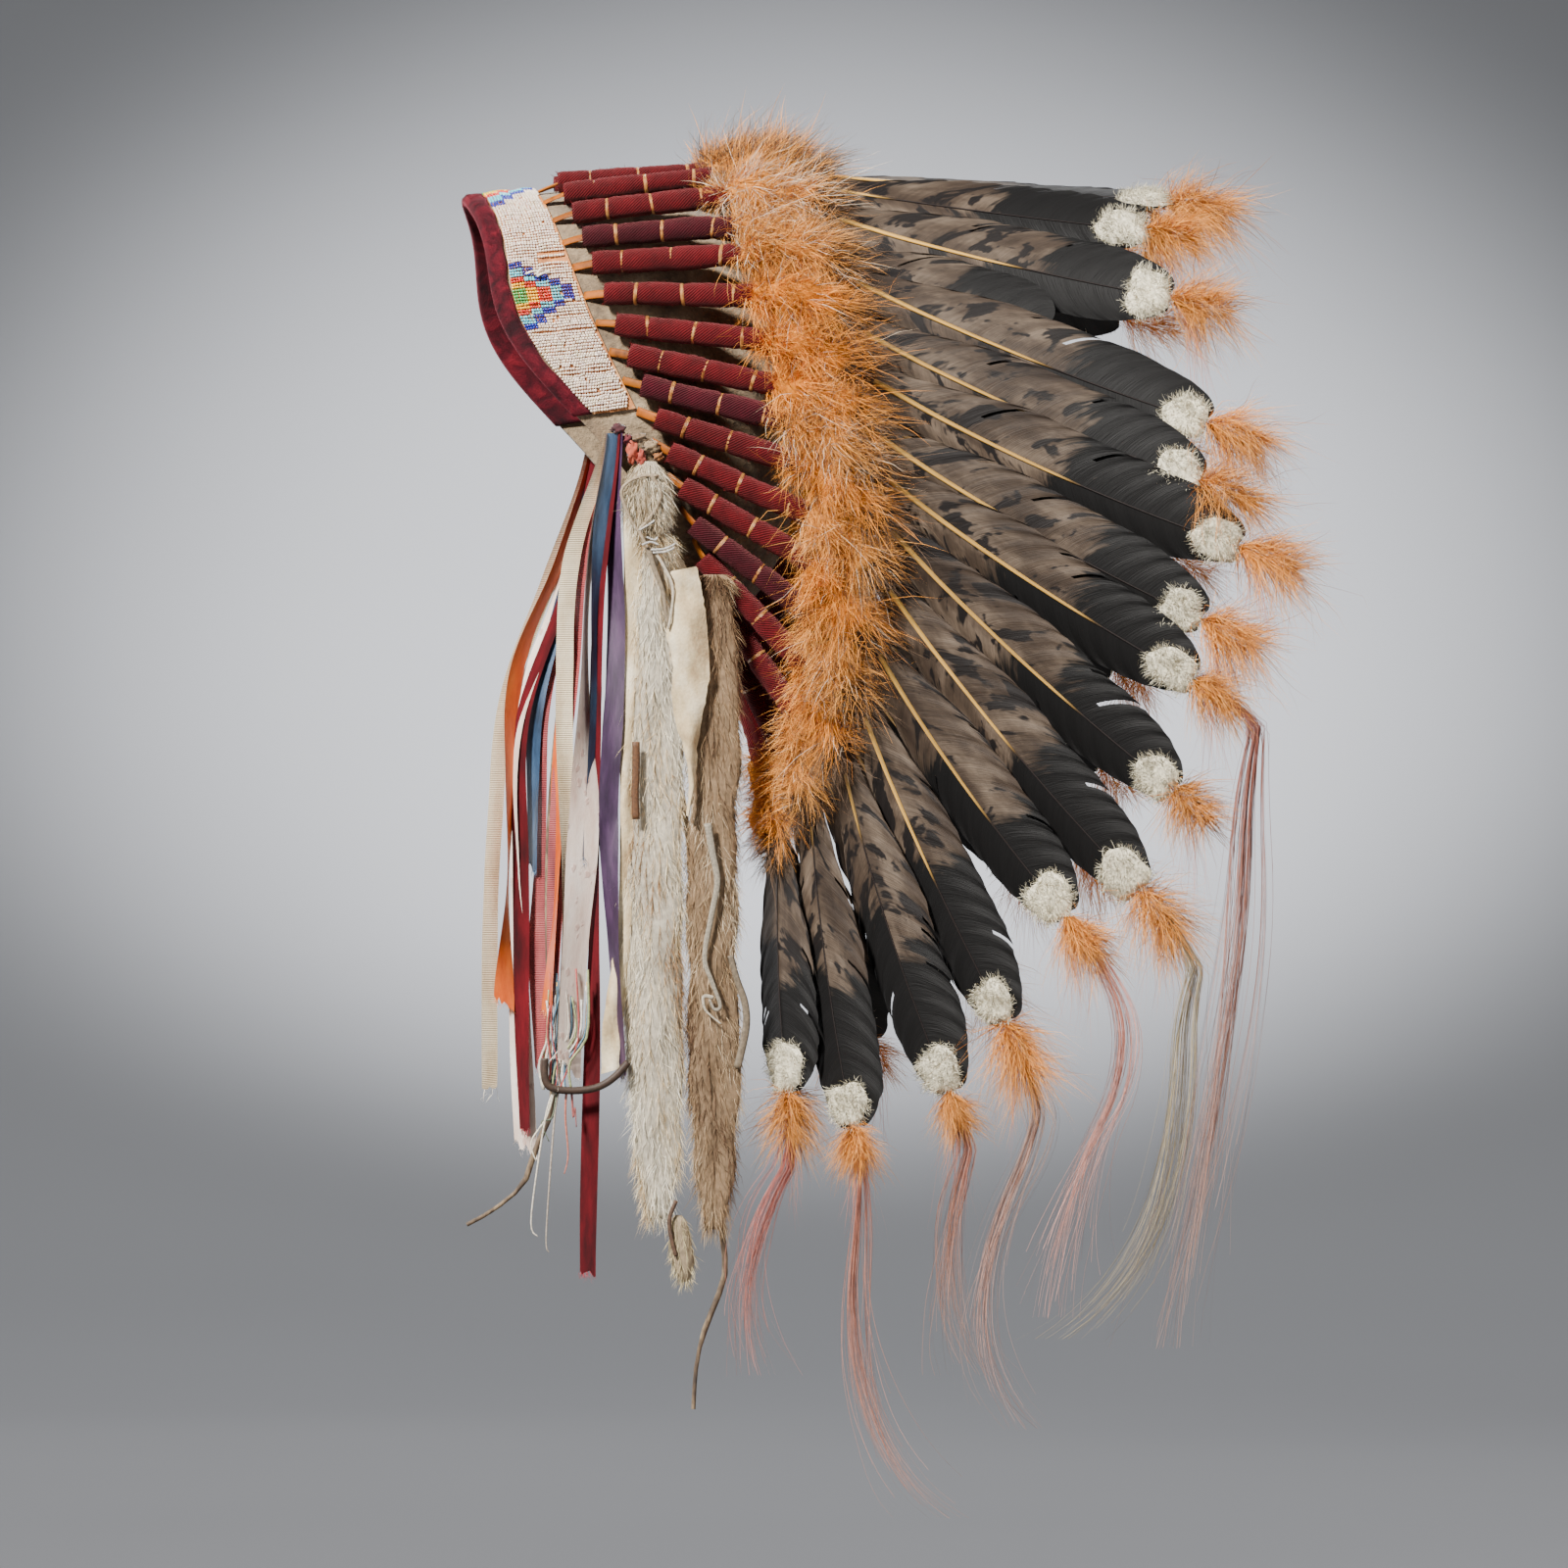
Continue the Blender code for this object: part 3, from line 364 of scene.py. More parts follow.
def make_ribbon_looks(looks):
    """Woven finishes. The attribute lay gives millimetres across and along a ribbon."""
    def woven(name, colours, rough, ribs, rib_depth, **values):
        look = looks[name] = Look("ribbon_" + name, rough, **values)
        lay = look.attribute("lay", "Vector")
        stain = look.noise(look.place((0.10, 0.022, 1.0), lay), detail=5.0, rough=0.6)
        threads = look.noise(look.place((2.2, 0.30, 1.0), lay), detail=3.0, rough=0.7)
        fade = look.noise(look.place((0.05, 0.008, 3.0), lay), detail=2.0)
        base = look.shades(stain, (0.30, 0.50, 0.72), *colours)
        base = look.mix(0.5, base, look.ramp(fade, (0.3, 0.72), (0.7, 1.2)), "MULTIPLY")
        ribbed = look.wave(lay, ribs, 0.15, direction="Y")
        base = look.mix(rib_depth, base, look.ramp(ribbed, (0.1, 0.45), (0.6, 1.08)), "MULTIPLY")
        look.colour(look.mix(0.35, base, look.ramp(threads, (0.3, 0.6), (0.7, 1.2)), "MULTIPLY"))
        look.bump(ribbed, rib_depth, 0.0005).bump(threads, 0.3, 0.0003).bump(stain, 0.25, 0.002)
        return look
    woven("cream", ((206, 180, 140), (232, 212, 176), (240, 226, 198)), 0.62, 0.30, 0.65, Sheen_Weight=0.2)
    woven("salmon", ((116, 32, 38), (158, 60, 62), (180, 88, 82)), 0.62, 0.30, 0.60)
    woven("orange", ((160, 54, 8), (200, 84, 18), (220, 114, 42)), 0.42, 1.2, 0.12)
    woven("blue", ((22, 34, 50), (46, 70, 98), (76, 104, 134)), 0.38, 1.2, 0.10)
    woven("purple", ((30, 16, 34), (56, 34, 62), (84, 58, 88)), 0.42, 1.2, 0.14)
    look = woven("burgundy", ((34, 1, 6), (76, 3, 13), (104, 10, 22)), 0.85, 1.4, 0.10, Sheen_Weight=0.15,
                 Sheen_Tint=(0.9, 0.1, 0.15, 1.0), Specular_IOR_Level=0.2)
    look = woven("brocade", ((204, 172, 156), (226, 204, 190), (240, 228, 218)), 0.42, 0.9, 0.15,
                 Sheen_Weight=0.3)
    lay = look.attribute("lay", "Vector")
    petals = look.cells(look.place((0.16, 0.11, 1.0), lay))
    leaves = look.noise(look.place((0.22, 0.16, 1.0), lay), detail=2.0, bend=1.8)
    figure = look.math("ADD", petals, look.math("MULTIPLY", leaves, 0.6))
    base = look.shader.inputs["Base Color"].links[0].from_socket
    shade = look.ramp(figure, (0.50, (0.74, 0.60, 0.58)), (0.60, (1.0, 1.0, 1.0)), (0.92, (1.0, 0.98, 0.96)))
    look.colour(look.mix(0.85, base, shade, "MULTIPLY"))
    look.bump(look.ramp(figure, (0.50, 0.0), (0.60, 1.0)), 0.4, 0.0005)


# Mesh building

def unit(vectors):
    return vectors / np.maximum(np.linalg.norm(vectors, axis=-1, keepdims=True), 1e-12)


class Pile:
    """Collects the parts of one joined mesh, with a tint and a lay for each point."""

    def __init__(self):
        self.points, self.quads, self.tris, self.tint, self.lay, self.zone = [], [], [], [], [], []
        self.count = 0

    def add(self, points, quads=None, tris=None, tint=(1.0, 1.0, 1.0), lay=None, zone=None):
        points = np.asarray(points, float).reshape(-1, 3)
        if quads is not None and len(quads):
            self.quads.append(np.asarray(quads, np.int64) + self.count)
        if tris is not None and len(tris):
            self.tris.append(np.asarray(tris, np.int64) + self.count)
        self.points.append(points)
        for store, value in ((self.tint, tint), (self.lay, lay), (self.zone, zone)):
            value = np.zeros(3) if value is None else np.asarray(value, float)
            store.append(np.broadcast_to(value.reshape(-1, 3) if value.ndim > 1 else value, (len(points), 3)))
        self.count += len(points)

    def make(self, name, material, slot, replaced=(), smooth=True):
        points = np.clip(np.concatenate(self.points), ROOM_LOW, ROOM_HIGH)
        quads = np.concatenate(self.quads) if self.quads else np.zeros((0, 4), np.int64)
        tris = np.concatenate(self.tris) if self.tris else np.zeros((0, 3), np.int64)
        mesh = bpy.data.meshes.new(name)
        mesh.vertices.add(len(points))
        mesh.vertices.foreach_set("co", points.astype(np.float32).ravel())
        loops = np.concatenate((quads.ravel(), tris.ravel()))
        mesh.loops.add(len(loops))
        mesh.loops.foreach_set("vertex_index", loops.astype(np.int32))
        starts = np.concatenate((np.arange(len(quads)) * 4, len(quads) * 4 + np.arange(len(tris)) * 3))
        mesh.polygons.add(len(starts))
        mesh.polygons.foreach_set("loop_start", starts.astype(np.int32))
        mesh.update(calc_edges=True)
        mesh.validate()
        for key, values in (("lay", self.lay), ("zone", self.zone)):
            store = mesh.attributes.new(key, "FLOAT_VECTOR", "POINT")
            store.data.foreach_set("vector", np.concatenate(values).astype(np.float32).ravel())
        store = mesh.attributes.new("tint", "FLOAT_COLOR", "POINT")
        tints = np.concatenate((np.concatenate(self.tint), np.ones((len(points), 1))), axis=1)
        store.data.foreach_set("color", tints.astype(np.float32).ravel())
        if smooth:
            mesh.shade_smooth()
        mesh.materials.append(material.material)
        item = bpy.data.objects.new(name, mesh)
        bpy.context.scene.collection.objects.link(item)
        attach(item, "root")
        if replaced:
            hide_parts(*replaced)
        print("PIECE", name, "triangles", len(quads) * 2 + len(tris))
        return item


def grid_quads(rows, columns, closed=False):
    """Faces of a grid of points, joined round when closed."""
    across = columns if closed else columns - 1
    r, c = np.meshgrid(np.arange(rows - 1), np.arange(across), indexing="ij")
    after = (c + 1) % columns
    low, high = r * columns, (r + 1) * columns
    return np.stack((low + c, low + after, high + after, high + c), -1).reshape(-1, 4)


def tube(middle, wide, tall, half_width, half_height, sides):
    """Points of oval rings round a line, as an array of rows, sides and 3."""
    turn = 2.0 * np.pi * np.arange(sides) / sides
    a = np.asarray(half_width)[:, None, None] * np.cos(turn)[None, :, None]
    b = np.asarray(half_height)[:, None, None] * np.sin(turn)[None, :, None]
    return middle[:, None] + wide[:, None] * a + tall[:, None] * b


def close_ends(rows, sides, first_point, last_point):
    """Triangles from the end rings to two added points."""
    turn = np.arange(sides)
    after = (turn + 1) % sides
    base = (rows - 1) * sides
    return np.concatenate((
        np.stack((after, turn, np.full(sides, first_point)), -1),
        np.stack((base + turn, base + after, np.full(sides, last_point)), -1)))


def add_closed(pile, side, rings, ends, tint=(1.0, 1.0, 1.0), lay=None):
    """A tube of rings with each end closed to a point, mirrored for the far side."""
    rows, sides = rings.shape[:2]
    points = mirrored(side, np.concatenate((rings.reshape(-1, 3), ends)))
    faces = close_ends(rows, sides, rows * sides, rows * sides + 1)
    pile.add(points, grid_quads(rows, sides, True), faces, tint, lay)


def add_strands(pile, rng, roots, heads, lengths, width, root_tint, tip_tint, bend=None,
                curl=0.0, segments=3):
    """Fine flat hairs: each starts at a root and bends along its length."""
    count = len(roots)
    steps = np.linspace(0.0, 1.0, segments + 1)
    side = unit(np.cross(heads, rng.normal(size=(count, 3))))
    reach = lengths[:, None, None]
    line = roots[:, None] + heads[:, None] * reach * steps[None, :, None]
    if bend is not None:
        line = line + bend[:, None] * reach * (steps ** 2)[None, :, None]
    if curl:
        third = unit(np.cross(heads, side))
        phase = rng.uniform(0, 6.28, (count, 1))
        turn = rng.uniform(3.0, 7.0, (count, 1)) * steps[None]
        swing = (np.sin(turn + phase) - np.sin(phase)) * curl
        line = line + third[:, None] * reach * swing[:, :, None]
    taper = (1.0 - 0.75 * steps[:-1] ** 1.5)[None, :, None]
    widths = (np.asarray(width) * np.ones(count))[:, None, None] * taper / 2.0
    left = line[:, :-1] - side[:, None] * widths
    right = line[:, :-1] + side[:, None] * widths
    body = np.stack((left, right), 2).reshape(count, segments * 2, 3)
    points = np.concatenate((body, line[:, -1:]), 1)
    each = segments * 2 + 1
    first = np.arange(count)[:, None] * each
    quads = [first + np.array([[2 * k, 2 * k + 1, 2 * k + 3, 2 * k + 2]]) for k in range(segments - 1)]
    tris = first + np.array([[2 * segments - 2, 2 * segments - 1, 2 * segments]])
    share = np.concatenate((np.repeat(steps[:-1], 2), [1.0]))[None, :, None]
    root_tint = np.broadcast_to(np.asarray(root_tint, float), (count, 3))[:, None]
    tip_tint = np.broadcast_to(np.asarray(tip_tint, float), (count, 3))[:, None]
    tint = root_tint + (tip_tint - root_tint) * share
    pile.add(points, np.concatenate(quads) if quads else None, tris, tint.reshape(-1, 3))


def soft_step(value, start, end):
    share = np.clip((np.asarray(value, float) - start) / (end - start), 0.0, 1.0)
    return share * share * (3.0 - 2.0 * share)


def wobble(rng, count, waves=5, power=1.0):
    """A smooth random line of values near -1 to 1."""
    place = np.linspace(0.0, 1.0, count)
    total = np.zeros(count)
    for wave in range(1, waves + 1):
        total += rng.normal() / wave ** power * np.sin(2 * np.pi * wave * place * 0.7 + rng.uniform(0, 6.28))
    return total / 1.6


# Forms of the cap and the feathers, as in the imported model

def cap_points(row, degrees):
    """Points of the cap's outer face, smooth between the rows of its table."""
    row, degrees = np.broadcast_arrays(np.asarray(row, float), np.asarray(degrees, float))
    last = len(CAP_ROWS) - 1
    index = np.clip(np.floor(row).astype(int), 0, last - 1)
    t = (row - index)[..., None]
    b, c = CAP_ROWS[index], CAP_ROWS[index + 1]
    a = np.where((index > 0)[..., None], CAP_ROWS[np.maximum(index - 1, 0)], 2 * b - c)
    d = np.where((index < last - 1)[..., None], CAP_ROWS[np.minimum(index + 2, last)], 2 * c - b)
    smooth = 0.5 * (2 * b + (c - a) * t + (2 * a - 5 * b + 4 * c - d) * t ** 2
                    + (3 * b - a - 3 * c + d) * t ** 3)
    values = np.where((row < 0.0)[..., None], b + (c - b) * t, smooth)
    turn = np.radians(degrees)
    front = np.stack((values[..., 0] * CAP_LENGTH - CROWN_FROM_FRONT,
                      CAP_WALL - values[..., 1] * CAP_HEIGHT), -1)
    nape = np.stack((values[..., 2] * CAP_LENGTH - CROWN_FROM_FRONT, CAP_WALL - values[..., 3] * CAP_HEIGHT),
                    -1)
    flat = (front + nape) / 2 + (front - nape) / 2 * np.cos(turn)[..., None]
    y = -values[..., 4] * CAP_WIDTH / 2 * np.sin(turn)
    folded = (degrees + 180.0) % 360.0 - 180.0
    lead = np.exp(-((np.abs(folded) - 70.0) / 27.0) ** 2)
    x = flat[..., 0] - TEMPLE_LEAD * lead * np.maximum(0.0, 1.0 - row)
    return np.stack((x, y, flat[..., 1]), -1)


def cap_normals(row, degrees):
    row = np.asarray(row, float)
    across = cap_points(np.minimum(row + 0.1, 5.0), degrees) - cap_points(np.maximum(row - 0.1, 0.0), degrees)
    round_way = cap_points(row, np.asarray(degrees) + 3.0) - cap_points(row, np.asarray(degrees) - 3.0)
    return unit(np.cross(round_way, across))


def cap_out(row, degrees, height):
    return cap_points(row, degrees) + cap_normals(row, degrees) * np.asarray(height)[..., None]


def feather_path(row):
    place, wrap_pitch, root_pitch, tip_pitch, wrap_splay, tip_splay, share_length = row[:7]
    length = FEATHER_LENGTH * share_length
    spacing = (max(length, FEATHER_LENGTH) + PAD_LENGTH + TUFT_LENGTH) / PATH_STEPS
    share = (np.arange(PATH_STEPS) + 0.5) * spacing / length
    wrap_end = (LOOP_LENGTH + WRAP_LENGTH) / FEATHER_LENGTH
    plume_end = wrap_end + PLUME_LENGTH / FEATHER_LENGTH
    pitch = wrap_pitch + (root_pitch - wrap_pitch) * soft_step(share, wrap_end, plume_end)
    pitch = pitch + (tip_pitch - root_pitch) * np.clip((share - plume_end) / (1.0 - plume_end), 0.0, 1.0)
    pitch = np.radians(pitch - TUFT_DROOP_DEG * np.maximum(0.0, share - 1.0) * FEATHER_LENGTH / TUFT_LENGTH)
    splay = np.radians(wrap_splay + (tip_splay - wrap_splay) * soft_step(share, wrap_end, 1.0))
    heads = np.stack((np.cos(splay) * np.cos(pitch), -np.sin(splay), np.cos(splay) * np.sin(pitch)), -1)
    start = cap_out(LOOP_ROW, place, GAP)
    return length, np.concatenate((start[None], start + np.cumsum(heads * spacing, axis=0))), spacing


def path_at(path, distance):
    _, points, spacing = path
    place = np.clip(np.asarray(distance) / spacing, 0.0, len(points) - 1.001)
    return np.stack([np.interp(place, np.arange(len(points)), points[:, k]) for k in range(3)], -1)


def feather_frame(paths, index, distance, roll):
    """Points of a feather with its outward, next-feather and forward directions."""
    distance = np.atleast_1d(np.asarray(distance, float))
    here = path_at(paths[index], distance)
    before = here * np.array((1, -1, 1)) if index == 0 else path_at(paths[index - 1], distance)
    after = here + (here - before) if index == len(paths) - 1 else path_at(paths[index + 1], distance)
    step = paths[index][2]
    ahead = unit(path_at(paths[index], distance + step) - path_at(paths[index], distance - step))
    across = after - before
    across = unit(across - ahead * np.sum(ahead * across, -1, keepdims=True))
    out = np.cross(across, ahead)
    turn = np.radians(roll)[:, None] if np.ndim(roll) else np.radians(roll)
    tilted = across * np.cos(turn) - out * np.sin(turn)
    lifted = out * np.cos(turn) + across * np.sin(turn)
    room = np.minimum(np.linalg.norm(here - before, axis=-1), np.linalg.norm(after - here, axis=-1))
    return here, lifted, tilted, ahead, room


def far_rows():
    rows = []
    for index, row in enumerate(FEATHERS):
        share = (index / (len(FEATHERS) - 1)) ** 3
        rise = FAR_RISE_DEG * share
        rows.append((*row[:2], row[2] + rise, row[3] + rise, *row[4:6],
                     row[6] * (1.0 - FAR_SHORTENING * share), row[7]))
    return rows


def seated_paths(rows):
    """Paths lifted so that each wrap rests on the cap."""
    loose = [feather_path(row) for row in rows]
    seated = []
    for index, row in enumerate(rows):
        base, normal = cap_points(LOOP_ROW, row[0]), cap_normals(LOOP_ROW, row[0])
        here, out, across = feather_frame(loose, index, np.array((0.0, 0.008, 0.010)), 0.0)[:3]
        rings = tube(here + out * np.array((0.0009, 0.001, 0.0058))[:, None], across, out,
                     np.array((0.0025, 0.0025, 0.0058)), np.array((0.0009, 0.0009, 0.0058)), 8)
        lift = GAP - np.min((rings.reshape(-1, 3) - base) @ normal)
        length, points, spacing = loose[index]
        seated.append((length, points + normal * lift, spacing))
    return seated


PATHS = {-1: seated_paths(FEATHERS), 1: seated_paths(far_rows())}
ROWS = {-1: FEATHERS, 1: far_rows()}
WRAP_START, WRAP_END = LOOP_LENGTH, LOOP_LENGTH + WRAP_LENGTH
PLUME_END = WRAP_END + PLUME_LENGTH


def mirrored(side, points):
    return points if side < 0 else points * np.array((1.0, -1.0, 1.0))


def side_nodes(side):
    name = "near" if side < 0 else "far"
    return [f"feather_{name}_{number:02d}" for number in range(1, 17)]


def roll_at(path, distance):
    """The roll of a vane in degrees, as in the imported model."""
    vane = path[0] - PAD_LENGTH - PLUME_END
    return VANE_ROLL_DEG * np.interp(distance,
                                     (WRAP_END, PLUME_END, PLUME_END + vane * 0.22, PLUME_END + vane * 0.55),
                                     (0.0, 0.25, 0.85, 1.0))


# Pieces

def make_camera():
    data = bpy.data.cameras.new("camera")
    data.lens, data.sensor_width = CAMERA_LENS, 36.0
    data.clip_end = 60.0
    item = bpy.data.objects.new("camera", data)
    right = Vector((math.cos(CAMERA_TURN), math.sin(CAMERA_TURN), 0.0))
    ahead = Vector((-math.sin(CAMERA_TURN), math.cos(CAMERA_TURN), 0.0))
    item.location = right * AIM_RIGHT - ahead * CAMERA_BACK + Vector((0.0, 0.0, AIM_UP))
    item.rotation_mode = "QUATERNION"
    item.rotation_quaternion = ahead.to_track_quat("-Z", "Y")
    bpy.context.scene.collection.objects.link(item)
    bpy.context.scene.camera = item


def smooth_route(route, spacing):
    dense = []
    for index in range(len(route) - 1):
        a, b, c = route[max(0, index - 1)], route[index], route[index + 1]
        d = route[min(len(route) - 1, index + 2)]
        for step in range(12):
            t = step / 12
            dense.append(tuple(
                0.5 * (2.0 * b[k] + (c[k] - a[k]) * t + (2.0 * a[k] - 5.0 * b[k] + 4.0 * c[k] - d[k]) * t * t
                       + (3.0 * b[k] - a[k] - 3.0 * c[k] + d[k]) * t * t * t) for k in range(2)))
    dense.append(route[-1])
    kept, walked = [dense[0]], 0.0
    for before, after in zip(dense, dense[1:]):
        walked += math.dist(before, after)
        if walked >= spacing:
            kept.append(after)
            walked = 0.0
    return kept


def make_thong(name, route, depth, looks):
    points = [(x, -depth, z) for x, z in smooth_route(route, THONG_SPACING)]
    curve = bpy.data.curves.new(name, "CURVE")
    curve.dimensions = "3D"
    spline = curve.splines.new("POLY")
    spline.points.add(len(points) - 1)
    for place, (item, point) in enumerate(zip(spline.points, points)):
        item.co = (*point, 1.0)
        item.radius = 1.0 if place < len(points) - 4 else 0.7
    curve.bevel_depth = THONG_DIAMETER / 2.0
    curve.bevel_resolution = 3
    curve.use_fill_caps = True
    curve.materials.append(looks["thong"].material)
    item = bpy.data.objects.new(name + "_cord", curve)
    bpy.context.scene.collection.objects.link(item)
    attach(item, "root")
    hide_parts(name)


def make_cap(looks, rng):
    """The hollow felt cap, finely sampled, with a worn uneven surface and short fuzz."""
    rows, turns = 46, 112
    row = np.linspace(0.0, 5.0, rows)[:, None] * np.ones((1, turns))
    degrees = np.ones((rows, 1)) * (np.arange(turns) * 360.0 / turns)[None]
    uneven = 0.0006 * (np.sin(row * 9.1 + degrees * 0.21) + np.sin(row * 5.3 - degrees * 0.13 + 1.7))
    uneven = uneven * soft_step(row, 0.9, 1.6)
    pile = Pile()
    back, down = CROWN_POINT
    crown = np.array((back * CAP_LENGTH - CROWN_FROM_FRONT, 0.0, CAP_WALL - down * CAP_HEIGHT))
    inward = unit(cap_points(0.0, 90.0) + cap_points(0.0, -90.0) - crown * 2)
    outer = cap_out(row, degrees, uneven)
    inner = cap_out(row, degrees, -CAP_WALL + uneven)
    for skin, top in ((outer, crown), (inner, crown + inward * CAP_WALL)):
        ring = (rows - 1) * turns + np.arange(turns)
        after = (rows - 1) * turns + (np.arange(turns) + 1) % turns
        tris = np.stack((ring, after, np.full(turns, rows * turns)), -1)
        pile.add(np.concatenate((skin.reshape(-1, 3), top[None])), grid_quads(rows, turns, True), tris)
    edge = np.stack((outer[0], (outer[0] + inner[0]) / 2 + (outer[0] - outer[1]) * 0.1, inner[0]))
    pile.add(edge, grid_quads(3, turns, True))
    pile.make("cap_felt", looks["felt"], "felt", ["cap"])
    count = 9000
    row, degrees = rng.uniform(0.85, 4.9, count), rng.uniform(-175.0, 175.0, count)
    roots, normals = cap_points(row, degrees), cap_normals(row, degrees)
    heads = unit(normals * 0.55 + rng.normal(size=(count, 3)) * 0.8)
    shade = rng.uniform(0.6, 1.15, (count, 1)) * paint(176, 158, 128)
    fuzz = Pile()
    # Each fuzz hair is painted at 0.8 of its colour at the root: painted shade at the foot of the fuzz.
    add_strands(fuzz, rng, roots, heads, rng.uniform(0.0012, 0.0035, count), 0.00018, shade * 0.8,
                shade, segments=1)
    fuzz.make("cap_fuzz", looks["fuzz"], "felt")


def band_row(degrees):
    """The cap row where the beadwork begins beside the binding, and the length of one row."""
    width = np.linalg.norm(cap_points(1.0, degrees) - cap_points(0.0, degrees), axis=-1)
    return (BINDING_OUTER_LEG + BAND_GAP) / width, width


BAND_HIDE_WALL, BAND_RADIUS, SIDE_MOTIF_Z = 0.0011, 0.09, -0.066
BEAD_ROW_PITCH, BEAD_PITCH, BEAD_LENGTH, BEAD_RADIUS = 0.00190, 0.00158, 0.00134, 0.00092


def make_band(looks, rng):
    """The band's hide and its seed beads in rows across it, charted in steps of colour."""
    angles = np.linspace(-BAND_END_DEG, BAND_END_DEG, 145)
    low = band_row(angles)[0]
    shares = np.linspace(0.0, 1.0, 9)
    rows = low[:, None] + (BAND_HIGH_ROW - low)[:, None] * shares[None]
    turns = angles[:, None] * np.ones((1, 9))
    outer = cap_out(rows, turns, np.full(rows.shape, BAND_GAP + BAND_HIDE_WALL))
    inner = cap_out(rows, turns, np.full(rows.shape, BAND_GAP))
    pile = Pile()
    pile.add(outer, grid_quads(145, 9))
    pile.add(inner, grid_quads(145, 9))
    for edge in (0, 8):
        pile.add(np.stack((outer[:, edge], inner[:, edge]), 1), grid_quads(145, 2))
    for end in (0, 144):
        pile.add(np.stack((outer[end], inner[end]), 1), grid_quads(9, 2))
    pile.make("band_hide", looks["band_hide"], "beads", ["brow_band"])

    # Rows of beads, evenly spaced along the band's front edge
    fine = np.linspace(-BAND_END_DEG, BAND_END_DEG, 2001)
    fine_low = band_row(fine)[0]
    middle = cap_points(fine_low + (BAND_HIGH_ROW - fine_low) * 0.45, fine)
    walked = np.concatenate(([0.0], np.cumsum(np.linalg.norm(np.diff(middle, axis=0), axis=-1))))
    pitch, bead = BEAD_ROW_PITCH, BEAD_PITCH
    count = int(walked[-1] / pitch) - 1
    # The side motifs stand where the band's front edge passes a height, away from its middle
    beside = np.where(fine > 12.0)[0]
    motif = fine[beside[np.argmin(np.abs(cap_points(fine_low, fine)[beside, 2] - SIDE_MOTIF_Z))]]
    motif_degrees = [0.0, -motif, motif]
    motifs = [np.interp(value, fine, walked) for value in motif_degrees]
    before_first = (walked[-1] - (count - 1) * pitch) / 2
    cream, blue, sky, red, yellow, green = (paint(*c) for c in (
        (238, 222, 206), (22, 34, 150), (92, 196, 214), (206, 32, 26), (244, 184, 22), (70, 170, 84)))
    ring_colours = (green, yellow, red, sky, blue)
    points, tints = [], []
    profile = ((-0.5, 0.58), (0.0, 1.04), (0.5, 0.58))
    turn = 2 * np.pi * np.arange(6) / 6
    for number in range(count):
        along = before_first + number * pitch
        degrees = np.interp(along, walked, fine)
        first, wide = band_row(degrees)
        last = BAND_HIGH_ROW - 0.01
        ends = min(1.0, (min(number, count - 1 - number) + 1.5) / 6.0)
        span = (last - first) * wide * (0.72 + 0.28 * math.sqrt(ends * (2 - ends)))
        beads = int(span / bead)
        lane = beads // 2 + int(round(1.2 * math.sin(number * 0.35)))
        sway = 0.35 * math.sin(number * 0.9) + 0.25 * rng.normal()
        missing = motif_degrees[2] - 14 < degrees < motif_degrees[2] - 9.5
        for place in range(beads):
            if missing and place > lane and number % 3:
                continue
            if rng.random() < 0.006:
                continue
            share = (place - lane) / max(1, beads - lane) if place >= lane else place / max(1, lane)
            hump = 0.0009 * math.sin(math.pi * min(1.0, max(0.0, share)))
            row = first + (place + 0.5 + 0.08 * rng.normal()) * bead / wide
            bow = math.degrees(pitch * sway * math.sin(math.pi * share) / BAND_RADIUS)
            slip = (0.10 if place < lane else -0.10) + 0.05 * rng.normal()
            spot = degrees + bow * 0.35 + slip * math.degrees(pitch / BAND_RADIUS) * 0.4
            tint = cream * rng.uniform(0.80, 1.06)
            tint = tint * np.array((1.0, rng.uniform(0.92, 1.0), rng.uniform(0.84, 1.0)))
            for motif in motifs:
                steps = abs(number - round((motif - before_first) / pitch))
                ring = int(steps / (2.3 if motif != motifs[0] else 3.6)) + int(place / 4.4)
                if ring < 5:
                    tint = ring_colours[ring] * rng.uniform(0.8, 1.15)
            points.append((row, spot, BAND_GAP + BAND_HIDE_WALL + bead * 0.36 + hump))
            tints.append(tint)
    place = np.array(points)
    middle = cap_out(place[:, 0], place[:, 1], place[:, 2])
    out = cap_normals(place[:, 0], place[:, 1])
    along = unit(cap_points(place[:, 0] + 0.02, place[:, 1]) - cap_points(place[:, 0] - 0.02, place[:, 1]))
    along = unit(along + rng.normal(size=along.shape) * 0.06)
    side = unit(np.cross(along, out))
    out = np.cross(side, along)
    rings = []
    size = rng.uniform(0.93, 1.06, (len(place), 1, 1))
    for rise, radius in profile:
        ring = side[:, None] * np.cos(turn)[None, :, None] + out[:, None] * np.sin(turn)[None, :, None]
        rings.append(middle[:, None] + along[:, None] * rise * BEAD_LENGTH
                     + ring * radius * BEAD_RADIUS * size)
    body = np.stack(rings, 1)
    total = len(place)
    faces = grid_quads(3, 6, True)
    quads = (np.arange(total)[:, None, None] * 18 + faces[None]).reshape(-1, 4)
    tint = np.repeat(np.array(tints), 18, axis=0)
    pile = Pile()
    pile.add(body, quads, None, tint)
    pile.make("seed_beads", looks["beads"], "beads")
    make_loose_threads(looks, motif_degrees[2])


